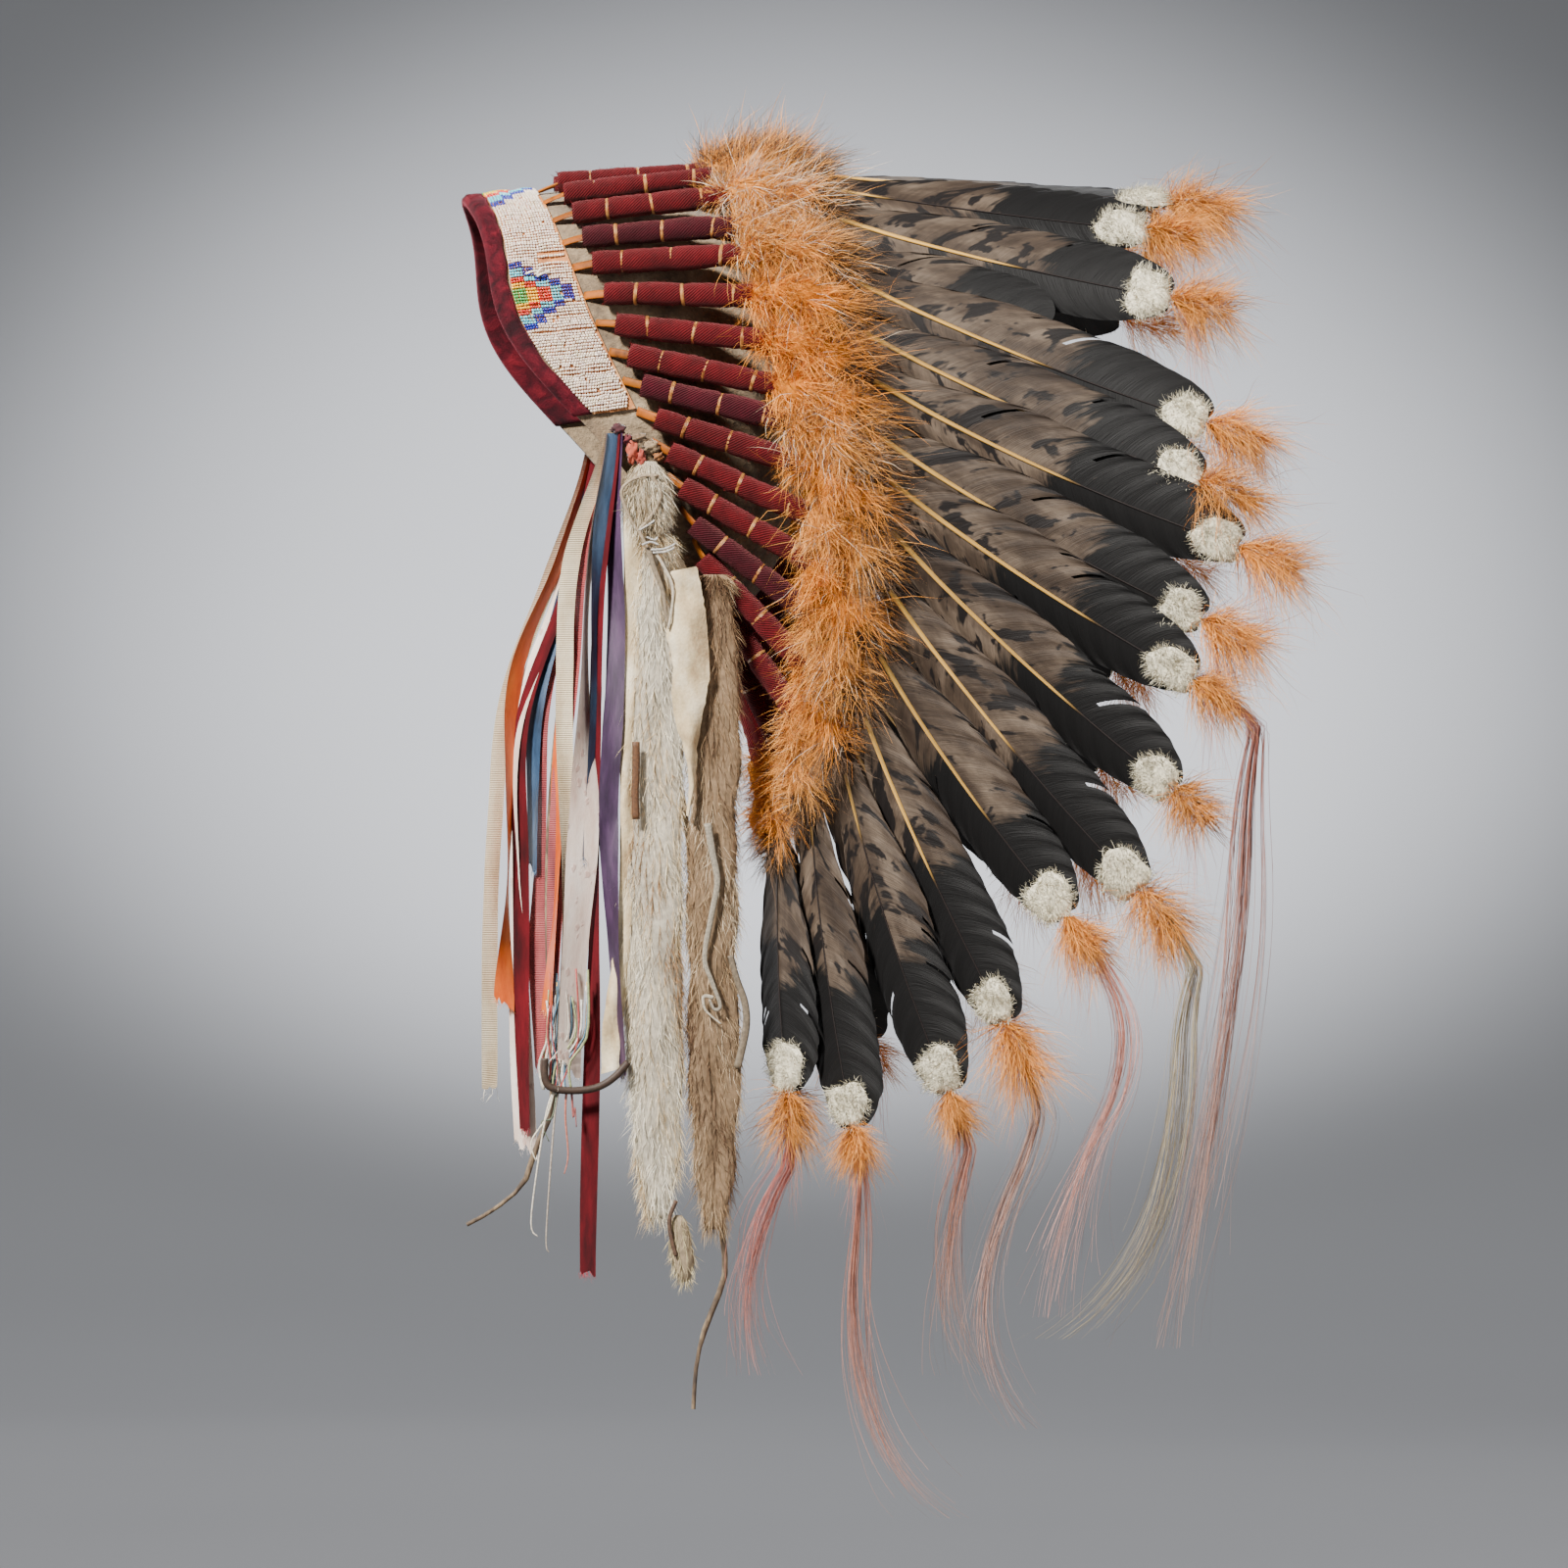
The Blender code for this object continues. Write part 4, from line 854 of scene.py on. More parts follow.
def make_loose_threads(looks, near_motif):
    """Short loose threads that hang over the worn rows of beads."""
    pile = Pile()
    for degrees, row, turn, length in ((near_motif - 8.0, 0.50, 0.9, 0.006),
                                       (near_motif - 6.5, 0.56, 0.3, 0.008),
                                       (near_motif - 7.0, 0.46, 0.15, 0.008)):
        count = 12
        share = np.linspace(0.0, 1.0, count)
        base = cap_out(row, degrees, 0.0052)
        along = unit(cap_points(row + 0.05, degrees) - cap_points(row - 0.05, degrees))
        side = np.cross(cap_normals(row, degrees), along)
        way = along * math.cos(turn) + side * math.sin(turn)
        arch = (0.0012 * np.sin(math.pi * share))[:, None]
        line = base - way * length * share[:, None] + cap_normals(row, degrees) * arch
        wide = np.broadcast_to(unit(np.cross(way, cap_normals(row, degrees))), line.shape)
        tall = np.broadcast_to(cap_normals(row, degrees), line.shape)
        ripple = 0.0007 + 0.00018 * np.cos(np.arange(count) * np.pi)
        rings = tube(line, wide, tall, ripple, ripple, 8)
        pile.add(rings, grid_quads(count, 8, True), None, paint(236, 224, 204))
    pile.make("loose_threads", looks["beads"], "beads")


def make_binding(looks, rng):
    """The velvet strip folded over the cap's front edge, rounded, with a short pile."""
    angles = np.linspace(-BAND_END_DEG, BAND_END_DEG, 181)
    edge = cap_points(0.0, angles)
    up = unit(cap_points(1.0, angles) - edge)
    out = cap_normals(np.zeros(len(angles)), angles)
    outer = GAP + BINDING_WALL
    inner = -CAP_WALL - GAP
    corners = np.array((
        (BINDING_OUTER_LEG, GAP * 2), (BINDING_OUTER_LEG + 0.0003, outer),
        (BINDING_OUTER_LEG * 0.7, outer + 0.0007),
        (BINDING_OUTER_LEG * 0.3, outer + 0.0007), (0.0, outer + 0.0002), (-0.0016, outer * 0.6),
        (-0.0023, 0.0),
        (-0.0023, inner * 0.6), (-0.0016, inner - BINDING_WALL * 0.7), (0.0, inner - BINDING_WALL - GAP),
        (BINDING_INNER_LEG * 0.5, inner - BINDING_WALL - 0.0005),
        (BINDING_INNER_LEG, inner - BINDING_WALL - GAP),
        (BINDING_INNER_LEG, inner - GAP), (-GAP, inner - GAP), (-GAP, GAP * 2)))
    ripple = 1.0 + 0.05 * np.sin(angles * 0.55 + 0.6) + 0.04 * wobble(rng, len(angles), 14, 0.4)
    rise = corners[None, :, 0] * np.where(corners[None, :, 0] > 0, ripple[:, None], 1.0)
    swell = 0.10 * wobble(rng, len(angles), 20, 0.3)[:, None] * (corners[None, :, 1] > 0.001)
    height = corners[None, :, 1] * (1.0 + swell)
    rings = edge[:, None] + up[:, None] * rise[..., None] + out[:, None] * height[..., None]
    pile = Pile()
    add_closed(pile, -1, rings, rings[[0, -1]].mean(1))
    pile.make("binding_velvet", looks["velvet"], "velvet", ["band_binding"])
    count = 9000
    spot = rng.uniform(-BAND_END_DEG, BAND_END_DEG, count)
    lean = rng.uniform(0.0, 1.0, count)
    base = cap_points(0.0, spot)
    up = unit(cap_points(1.0, spot) - base)
    out = cap_normals(np.zeros(count), spot)
    rise = np.where(lean < 0.75, lean / 0.75 * BINDING_OUTER_LEG, -0.0018)
    tall = np.where(lean < 0.75, outer + 0.0004, rng.uniform(-0.004, 0.001, count))
    roots = base + up * rise[:, None] + out * tall[:, None]
    heads = unit(np.where((lean < 0.75)[:, None], out, -up) + rng.normal(size=(count, 3)) * 0.45)
    shade = rng.uniform(0.6, 1.3, (count, 1)) * paint(104, 20, 34)
    fuzz = Pile()
    # Each pile hair is painted at half its colour at the root: painted shade deep in the pile.
    add_strands(fuzz, rng, roots, heads, rng.uniform(0.0006, 0.0014, count), 0.00016, shade * 0.5,
                shade, segments=1)
    fuzz.make("binding_pile", looks["fuzz"], "velvet")


# Colour of the wraps' wool, and of the darker wraps by their index
WOOL_RED, WOOL = (90, 5, 14), {3: (62, 4, 18), 8: (64, 4, 20), 12: (60, 4, 18)}
TIE_PLACES = (0.20, 0.49, 0.80)
WRAP_HALF_WIDTH, WRAP_HALF_HEIGHT, WRAP_ROOM_SHARE, WRAP_LIFT = 0.0070, 0.0062, 0.485, 0.0003


def make_wraps(side, looks):
    """Hide loops, wool wraps, their sinew ties and the wool's fuzz."""
    rng = np.random.default_rng(20 + side)
    name = "near" if side < 0 else "far"
    wraps, loops, ties, fuzz = Pile(), Pile(), Pile(), Pile()
    for index in range(16):
        tint = paint(*WOOL.get(index, WOOL_RED)) * rng.uniform(0.85, 1.15)
        count, sides = (46, 18) if side < 0 else (34, 12)
        distance = np.linspace(WRAP_START - 0.001, WRAP_END + 0.004, count)
        share = np.linspace(0.0, 1.0, count)
        here, out, across, ahead, room = feather_frame(PATHS[side], index, distance, 0.0)
        wide = np.minimum(WRAP_HALF_WIDTH, room * WRAP_ROOM_SHARE)
        full = 1.0 + 0.05 * wobble(rng, count, 6)
        places = [p + rng.uniform(-0.02, 0.02) for p in TIE_PLACES]
        for place in places:
            full = full - 0.10 * np.exp(-((share - place) / 0.022) ** 2)
        full = full * (0.93 + 0.07 * np.clip(share * 30, 0, 1))
        full = full * (0.93 + 0.07 * np.clip((1 - share) * 30, 0, 1))
        drift = wobble(rng, count, 3) * 0.0004
        middle = here + out * (WRAP_RADIUS + WRAP_LIFT) + across * drift[:, None]
        rings = tube(middle, across, out, wide * full, WRAP_HALF_HEIGHT * full, sides)
        radial = unit(rings - middle[:, None])
        lump = rng.normal(size=(count, sides)) * 0.00012
        rings = rings + radial * lump[..., None]
        lay = np.stack((np.repeat(distance[:, None] * 1000, sides, 1) + index * 37.0,
                        np.broadcast_to(np.arange(sides) / sides * 40.0, (count, sides)),
                        np.full((count, sides), index)), -1)
        ends = np.stack((middle[0] - ahead[0] * 0.0004, middle[-1] + ahead[-1] * 0.0004))
        add_closed(wraps, side, rings, ends, tint, np.concatenate((lay.reshape(-1, 3), np.zeros((2, 3)))))
        for place in places:
            at = distance[0] + place * (distance[-1] - distance[0])
            at = at + 0.0010 * np.array((-1.0, -0.6, 0.0, 0.6, 1.0))
            h, o, a, f, r = feather_frame(PATHS[side], index, at, 0.0)
            grow = np.array((0.90, 0.955, 0.965, 0.955, 0.90))
            slant = 0.0005 * rng.normal()
            half = np.minimum(WRAP_HALF_WIDTH, r * WRAP_ROOM_SHARE) * grow
            band = tube(h + o * (WRAP_RADIUS + WRAP_LIFT), a, o, half, WRAP_HALF_HEIGHT * grow, 20)
            band = band + f[:, None] * (slant * np.cos(2 * np.pi * np.arange(20) / 20))[None, :, None]
            lay = np.stack((np.repeat(np.arange(5.0)[:, None] * 0.9, 20, 1),
                            np.broadcast_to(np.arange(20.0), (5, 20)),
                            np.full((5, 20), index * 3.0)), -1)
            ties.add(mirrored(side, band), grid_quads(5, 20, True), None, (1, 1, 1), lay.reshape(-1, 3))
        # The strap between the cap and the wrap: an arch that is open below
        strap_share = np.linspace(0.0, 1.0, 12)
        at = -0.004 + 0.020 * strap_share
        h, o, a, f = feather_frame(PATHS[side], index, np.maximum(at, 0.0), 0.0)[:4]
        h = h + f * np.minimum(at, 0.0)[:, None]
        height = 0.0012 + 0.0052 * np.sin(np.clip(strap_share, 0, 1) * 1.5)
        half = 0.0024 + 0.0002 * rng.normal()
        strap = tube(h + o * height[:, None], a, o, np.full(12, half), np.full(12, 0.0007), 10)
        loop_tint = paint(150, 84, 16) * rng.uniform(0.6, 1.05)
        loop_tint = loop_tint * np.array((1.0, rng.uniform(0.85, 1.0), rng.uniform(0.7, 1.0)))
        add_closed(loops, side, strap, strap[[0, -1]].mean(1), loop_tint)
        hairs = 420 if side < 0 else 160
        pick = rng.integers(0, count, hairs)
        end_heavy = rng.random(hairs) < 0.25
        pick[end_heavy] = np.where(rng.random(end_heavy.sum()) < 0.5, 0, count - 1)
        spot = rng.integers(0, sides, hairs)
        end_way = np.where(pick == 0, -1.0, np.where(pick == count - 1, 1.0, 0.0))[:, None]
        heads = unit(radial[pick, spot] + rng.normal(size=(hairs, 3)) * 0.7 + ahead[pick] * end_way)
        shade = tint * rng.uniform(0.5, 1.4, (hairs, 1))
        # Each fuzz hair is painted darker at its root than at its tip: painted shade at the foot of the fuzz.
        add_strands(fuzz, rng, mirrored(side, rings[pick, spot]), mirrored(side, heads),
                    rng.uniform(0.001, 0.0032, hairs),
                    0.00016, shade, shade * 1.1, segments=2, curl=0.15)
    wraps.make(f"wool_wraps_{name}", looks["wool"], "wool")
    ties.make(f"wrap_ties_{name}", looks["sinew"], "sinew")
    loops.make(f"feather_loops_{name}", looks["loop"], "sinew")
    fuzz.make(f"wool_fuzz_{name}", looks["fuzz"], "wool")


# Share of each feather's length where the golden part of its quill ends
GOLD_ENDS = (0.66, 0.55, 0.73, 0.60, 0.72, 0.69, 0.72, 0.72, 0.80, 0.785, 0.70, 0.77, 0.72, 0.55, 0.50, 0.45)


def make_vanes(side, looks):
    """Vanes built barb by barb, with splits between groups of barbs, and their quills."""
    rng = np.random.default_rng(40 + side)
    name = "near" if side < 0 else "far"
    vanes, quills = Pile(), Pile()
    rows = 104 if side < 0 else 76
    for index in range(16):
        path = PATHS[side][index]
        length = path[0]
        start, end = WRAP_END + 0.014, length - 0.010
        q = np.linspace(0.0, 1.0, rows)
        root = start + (end - start) * q
        dense = np.arange(0.0, length + 0.04, 0.0005)
        here, out, across = feather_frame(PATHS[side], index, dense, roll_at(path, dense))[:3]
        vane_bend = wobble(rng, len(dense), 3) * 0.0006
        here = here + out * (WRAP_RADIUS + vane_bend)[:, None]

        def read(values, at):
            return np.stack([np.interp(at, dense, values[:, k]) for k in range(3)], -1)

        for half, widest in ((-1, 0.0265), (1, 0.0205)):
            columns = 8
            j = np.linspace(0.0, 1.0, columns)
            width = widest * (0.20 + 0.80 * soft_step(q, 0.02, 0.42))
            tip = np.clip((q - 0.66) / 0.34, 0.0, 1.0)
            width = width * np.sqrt(np.maximum(0.0, 1.0 - tip ** 2.2)) + 0.0008
            width = width * (1.0 + 0.020 * wobble(rng, rows, 9, 0.5))
            forward = width * (1.55 - 0.75 * q) + 0.004 * (1 - tip)
            forward = np.where(q > 0.9, forward + (q - 0.9) * 0.06, forward)
            slide = np.zeros((rows, columns))
            drop = np.zeros((rows, columns))
            cuts = []
            for _ in range(rng.integers(2, 5)):
                at = int(rng.uniform(0.10, 0.78) * rows)
                begin = rng.uniform(0.25, 0.65)
                gap = rng.uniform(0.0003, 0.0010) * (1.6 if rng.random() < 0.15 else 1.0)
                offset = np.arange(rows) - at
                open_by = np.clip((j - begin) / (1 - begin), 0.0, 1.0) ** 1.2
                hold = np.exp(-np.abs(offset + 0.5) / rng.uniform(3, 9))
                slide += (np.where(offset >= 0, 1, -1) * gap * hold)[:, None] * open_by[None]
                drop += (np.where(offset >= 0, 1, -1) * 0.0007 * hold)[:, None] * open_by[None]
                cuts.append((at, int(math.ceil(begin * (columns - 1)))))
            at = root[:, None] + forward[:, None] * j[None] ** 1.25 + slide
            at = np.minimum(at, length + 0.006)
            out_by = width[:, None] * np.sin(j[None] * np.pi / 2 * 0.93) / math.sin(np.pi / 2 * 0.93)
            flute = 0.0005 * np.sin(root[:, None] * 380 + rng.uniform(0, 6)) * j[None]
            lower = -0.0042 * (out_by / 0.0265) ** 2 + flute + drop
            lower = lower + rng.normal(size=(rows, 1)) * 0.00008 * j[None]
            points = read(here, at) + read(across, at) * (half * out_by)[..., None]
            points = points + read(out, at) * lower[..., None]
            lay = np.stack((root[:, None] * 1000 + np.zeros((1, columns)), half * out_by * 1000,
                            np.full((rows, columns), index * 7.3 + (0 if side < 0 else 130.0))), -1)
            # The zone's first value is how far into the black end a point is, the second its pale share
            black = (at - start) / (length - start)
            limit = 0.60 - 0.05 * half + 0.04 * rng.normal()
            zone = np.stack((0.5 + (black - limit) * 3.2, np.full(at.shape, 0.25 if half > 0 else 0.0),
                             np.zeros(at.shape)), -1)
            quads = grid_quads(rows, columns).reshape(rows - 1, columns - 1, 4)
            keep = np.ones((rows - 1, columns - 1), bool)
            for spot, first in cuts:
                if 0 < spot < rows:
                    keep[spot - 1, first:] = False
            vanes.add(mirrored(side, points.reshape(-1, 3)), quads[keep], None, (1, 1, 1),
                      lay.reshape(-1, 3), zone.reshape(-1, 3))
        count, sides = 54, 6
        at = np.linspace(WRAP_END - 0.004, length - 0.004, count)
        h, o, a = read(here, at), read(out, at), read(across, at)
        gold_end = GOLD_ENDS[index] * (length + 0.01)
        fat = np.interp(at, (WRAP_END, WRAP_END + 0.05, gold_end - 0.02, gold_end + 0.006, length),
                        (0.0021, 0.0018, 0.0010, 0.0005, 0.0003))
        rings = tube(h + o * 0.0004, a, o, fat, fat * 0.75, sides)
        gold = (1.0 - soft_step(at, gold_end - 0.016, gold_end + 0.004))[:, None, None]
        root_gold = paint(222, 172, 84) * rng.uniform(0.8, 1.1)
        shadow = 1.0 - 0.45 * (np.cos(2 * np.pi * np.arange(sides) / sides) < -0.4)
        tint = root_gold * gold * shadow[None, :, None] + paint(30, 22, 20) * (1 - gold)
        lay = np.stack((np.repeat(at[:, None] * 1000, sides, 1),
                        np.broadcast_to(np.arange(sides) * 1.0, (count, sides)),
                        np.full((count, sides), index)), -1)
        quills.add(mirrored(side, rings), grid_quads(count, sides, True), None, tint.reshape(-1, 3),
                   lay.reshape(-1, 3))
    vanes.make(f"vanes_{name}", looks["vane"], "feather", side_nodes(side))
    quills.make(f"quills_{name}", looks["quill"], "quill")


# Down at each feather: main colour, share of grey brown, share of white
PEACH, AMBER, PALE, UMBER, ASH = (240, 156, 70), (242, 144, 42), (240, 216, 186), (70, 52, 40), (128, 104, 84)
DOWNS = (
    (AMBER, 0.30, 0.02), (PEACH, 0.25, 0.05), (PEACH, 0.15, 0.35), (PEACH, 0.40, 0.30), (PEACH, 0.30, 0.08),
    (AMBER, 0.20, 0.04), (AMBER, 0.25, 0.03), (AMBER, 0.22, 0.05), (PEACH, 0.40, 0.22), (AMBER, 0.22, 0.04),
    (PEACH, 0.30, 0.08), (AMBER, 0.35, 0.05), (PEACH, 0.50, 0.06), (AMBER, 0.60, 0.05), (PEACH, 0.60, 0.04),
    (AMBER, 0.65, 0.03))


def make_down(side, looks):
    """The plume of down round each feather's root: a soft core under many fine strands."""
    rng = np.random.default_rng(60 + side)
    name = "near" if side < 0 else "far"
    cores, strands = Pile(), [Pile(), Pile()]
    for index in range(16):
        main, grey, white = DOWNS[index]
        size = 1.08 if index < 12 else (1.0, 0.90, 0.80, 0.74)[index - 12]
        start, end = WRAP_END - 0.006, PLUME_END + 0.004
        count, sides = 18, 12
        share = np.linspace(0.0, 1.0, count)
        distance = start + (end - start) * share
        here, out, across, ahead, room = feather_frame(PATHS[side], index, distance, 0.0)
        puffs = 1.0 + 0.16 * np.sin(share * 13.0 + index * 1.7)
        swell = (np.sqrt(np.maximum(0.0, 1 - (2 * share - 1) ** 2)) * 0.85 + 0.12) * puffs
        half_wide = np.minimum(0.0110, room * 0.5) * swell * size
        half_tall = 0.0115 * swell * size
        middle = here + out * (WRAP_RADIUS + 0.0040 * swell)[:, None]
        rings = tube(middle, across, out, half_wide, half_tall, sides)
        radial = unit(rings - middle[:, None])
        rings = rings + radial * (rng.normal(size=(count, sides, 1)) * 0.0009)
        base = paint(*main)
        # The core is painted darker than the hairs over it, at 0.62 of the main colour and 0.7 of umber at
        # its end: painted shade inside the plume. Its grey-brown share and umber end are the down's own
        # colour.
        tint = base * 0.62 * (1 - grey * 0.6) + paint(*UMBER) * grey * 0.5
        tint = np.where((share > 0.72)[:, None], paint(*UMBER) * 0.7, tint)
        tint = np.concatenate((np.repeat(tint, sides, axis=0), tint[[0, -1]]))
        add_closed(cores, side, rings, middle[[0, -1]], tint)
        clump = rng.normal(size=(40, 3)) * 0.40
        tone = rng.uniform(0.80, 1.12, 40)
        sets = ((3000, 2, 1.0), (500, 4, 1.5)) if side < 0 else ((1200, 2, 1.0), (90, 3, 1.4))
        for hairs, segments, stretch in sets:
            place = rng.beta(1.25, 1.35, hairs)
            pick = (place * (count - 1)).astype(int)
            turn = rng.uniform(0, 2 * np.pi, hairs)
            way = across[pick] * np.cos(turn)[:, None] + out[pick] * np.sin(turn)[:, None]
            roots = (middle[pick] + across[pick] * (np.cos(turn) * half_wide[pick] * 0.85)[:, None]
                     + out[pick] * (np.sin(turn) * half_tall[pick] * 0.85)[:, None]
                     + ahead[pick] * rng.uniform(-0.002, 0.002, (hairs, 1)))
            lean = (place - 0.22) * 1.15 + rng.normal(size=hairs) * 0.22
            group = ((place * 8).astype(int) * 5 + (turn / (2 * np.pi) * 5).astype(int)) % 40
            heads = unit(way + ahead[pick] * lean[:, None] + clump[group]
                         + rng.normal(size=(hairs, 3)) * 0.30)
            lengths = rng.uniform(0.010, 0.023, hairs) * size * stretch
            lengths = lengths * np.where(np.sin(turn) > -0.2, 1.0, 0.6)
            bend = ahead[pick] * 0.25 + np.array((0.0, 0.0, -0.08)) + rng.normal(size=(hairs, 3)) * 0.20
            dark_zone = np.clip((place - 0.66) * 3.4, 0.0, 1.0)
            chance = rng.random(hairs)
            top = (index < 2) & (np.sin(turn + 0.6) > 0.35)
            dark = (chance < grey * 0.30 + 0.85 * dark_zone) | (top & (chance < 0.62))
            pale = (rng.random(hairs) < white) & ~dark
            # Each hair is painted darker at its root than at its tip: painted shade deep in the plume. The
            # paler mix at the tips of the coloured hairs is partly the down's own colour and partly a painted
            # highlight.
            root_tint = np.where(dark[:, None], paint(*UMBER), base * 0.80)
            tip_tint = np.where(dark[:, None], paint(*ASH), base * 0.74 + paint(250, 206, 132) * 0.28)
            root_tint = np.where(pale[:, None], paint(206, 186, 168), root_tint)
            tip_tint = np.where(pale[:, None], paint(*PALE), tip_tint)
            vary = (rng.uniform(0.78, 1.18, hairs) * tone[group])[:, None]
            add_strands(strands[index // 8], rng, mirrored(side, roots), mirrored(side, heads), lengths,
                        rng.uniform(0.00020, 0.00042, hairs), root_tint * vary, tip_tint * vary,
                        mirrored(side, bend), 0.12, segments)
    cores.make(f"down_cores_{name}", looks["down"], "down")
    for number, pile in enumerate(strands):
        pile.make(f"down_{name}_{number + 1}", looks["down"], "down")


def make_pads_and_tufts(side, looks):
    """The hide pads near the feathers' ends and the dyed tufts beyond them."""
    rng = np.random.default_rng(80 + side)
    name = "near" if side < 0 else "far"
    pads, pad_hair, tufts = Pile(), Pile(), Pile()
    for index in range(16):
        length = PATHS[side][index][0]
        tuft_share = ROWS[side][index][7]
        roll = VANE_ROLL_DEG
        if index != 3:
            rows, columns = 13, 13
            u, v = np.meshgrid(np.linspace(-1, 1, rows), np.linspace(-1, 1, columns), indexing="ij")
            round_u, round_v = u * np.sqrt(1 - 0.40 * v ** 2), v * np.sqrt(1 - 0.40 * u ** 2)
            angle = np.arctan2(v, u)
            edge = 1.0 + 0.07 * np.sin(3 * angle + rng.uniform(0, 6))
            edge = edge + 0.05 * np.sin(5 * angle + rng.uniform(0, 6))
            long_by, wide_by = rng.uniform(0.88, 1.12), rng.uniform(0.86, 1.12)
            at = length - PAD_LENGTH * 0.60
            here, out, across, ahead = feather_frame(PATHS[side], index, at, roll)[:4]
            square = (np.abs(u) ** 4 + np.abs(v) ** 4) ** 0.25
            dome = np.maximum(0.0, 1 - square ** 5)
            lump = 0.0009 * np.sin(u * 4.1 + index) * np.cos(v * 3.7 + index * 2.0)
            points = (here + out * (WRAP_RADIUS + 0.0003 + 0.0032 * dome ** 0.5 + lump * dome)[..., None]
                      + across * (PAD_WIDTH * 0.60 * round_v * edge * wide_by)[..., None]
                      + ahead * (PAD_LENGTH * 0.53 * round_u * edge * long_by)[..., None])
            tone = paint(232, 224, 198) * rng.uniform(0.84, 1.05)
            pads.add(mirrored(side, points), grid_quads(rows, columns), None, tone * 0.9)
            hairs = 900 if side < 0 else 240
            a, b = rng.integers(0, rows, hairs), rng.integers(0, columns, hairs)
            whorl = rng.normal(size=(5, 5, 3)) * 0.5
            heads = unit(out * 0.7 + across * (v[a, b] * 0.9)[:, None]
                         + ahead * (u[a, b] * 0.8 + 0.1)[:, None]
                         + whorl[a // 3, b // 3] + rng.normal(size=(hairs, 3)) * 0.40)
            shade = tone * rng.uniform(0.70, 1.12, (hairs, 1))
            # The sixth pad's lower half is pressed flat under the next feather
            pressed = (index == 5) & (points[a, b][:, 2] < points[..., 2].mean() - 0.001)
            # Each pad hair is painted at 0.78 of its tone at the root: painted shade at the foot of the hair.
            add_strands(pad_hair, rng, mirrored(side, points[a, b] + rng.normal(size=(hairs, 3)) * 0.0007),
                        mirrored(side, heads),
                        rng.uniform(0.0020, 0.0062, hairs) * np.where(pressed, 0.15, 1.0), 0.00034,
                        shade * 0.78, shade, segments=2, curl=0.25)
        if tuft_share < 0.4:
            continue
        reach = TUFT_LENGTH * tuft_share
        base = paint(228, 144, 58) * rng.uniform(0.88, 1.08)
        clump = rng.normal(size=(14, 3)) * 0.34
        tone = rng.uniform(0.8, 1.12, 14)
        sets = ((900, 3, 1.0), (130, 5, 1.35)) if side < 0 else ((430, 3, 1.0), (40, 4, 1.3))
        for amount, segments, stretch in sets:
            hairs = int(amount * (0.6 + 0.4 * tuft_share))
            spine = np.abs(rng.beta(1.0, 1.35, hairs)) * 0.66
            at = length - 0.003 + spine * reach
            here, out, across, ahead = feather_frame(PATHS[side], index, at, roll)[:4]
            bulge = 0.0055 * np.sin(np.pi * np.clip(spine / 0.66, 0.05, 1)) ** 0.7
            turn = rng.uniform(0, 2 * np.pi, hairs)
            radial = across * np.cos(turn)[:, None] + out * np.sin(turn)[:, None]
            roots = here + out * WRAP_RADIUS + radial * (bulge * rng.random(hairs) ** 0.5)[:, None]
            group = ((spine / 0.66 * 3).astype(int) * 4 + (turn / 6.2832 * 4).astype(int)) % 14
            heads = unit(radial * rng.uniform(0.45, 1.15, hairs)[:, None]
                         + ahead * (0.50 + 0.6 * spine)[:, None] + clump[group]
                         + rng.normal(size=(hairs, 3)) * 0.24)
            lengths = rng.uniform(0.34, 0.68, hairs) * reach * (1.0 - 0.40 * spine) * stretch
            bend = ahead * 0.20 + np.array((0.0, 0.0, -0.25)) + rng.normal(size=(hairs, 3)) * 0.20
            shade = base * (rng.uniform(0.76, 1.16, hairs) * tone[group])[:, None]
            ends = shade * 0.75 + paint(244, 204, 146) * 0.28 if stretch < 1.1 else shade * 0.7
            # Each hair is painted at 0.8 of its colour at the root: painted shade deep in the tuft. The paler
            # mix or the darker 0.7 at the ends is the hairs' own colour.
            add_strands(tufts, rng, mirrored(side, roots), mirrored(side, heads), lengths,
                        rng.uniform(0.00020, 0.00040, hairs),
                        shade * 0.80, ends, mirrored(side, bend), 0.14, segments)
        # A few long fine hairs hang below each tuft
        hairs = 40 if side < 0 else 22
        here, out, across, ahead = feather_frame(PATHS[side], index, np.full(hairs, length), roll)[:4]
        roots = here + out * (WRAP_RADIUS - 0.001) + rng.normal(size=(hairs, 3)) * 0.0014
        heads = unit(ahead * 0.9 + np.array((0.0, 0.0, -0.9)) + rng.normal(size=(hairs, 3)) * 0.14)
        shade = paint(186, 112, 92) * rng.uniform(0.7, 1.3, (hairs, 1))
        bend = np.array((-0.05, 0.0, -0.5)) - ahead * 0.3 + rng.normal(size=(hairs, 3)) * 0.12
        add_strands(tufts, rng, mirrored(side, roots), mirrored(side, heads),
                    rng.uniform(0.03, 0.066, hairs), 0.00024,
                    shade, shade * 1.15, mirrored(side, bend), 0.05, 5)
    pads.make(f"hide_pads_{name}", looks["pad"], "hide_pad")
    pad_hair.make(f"hide_pad_hair_{name}", looks["pad"], "hide_pad")
    tufts.make(f"tip_tufts_{name}", looks["down"], "down")


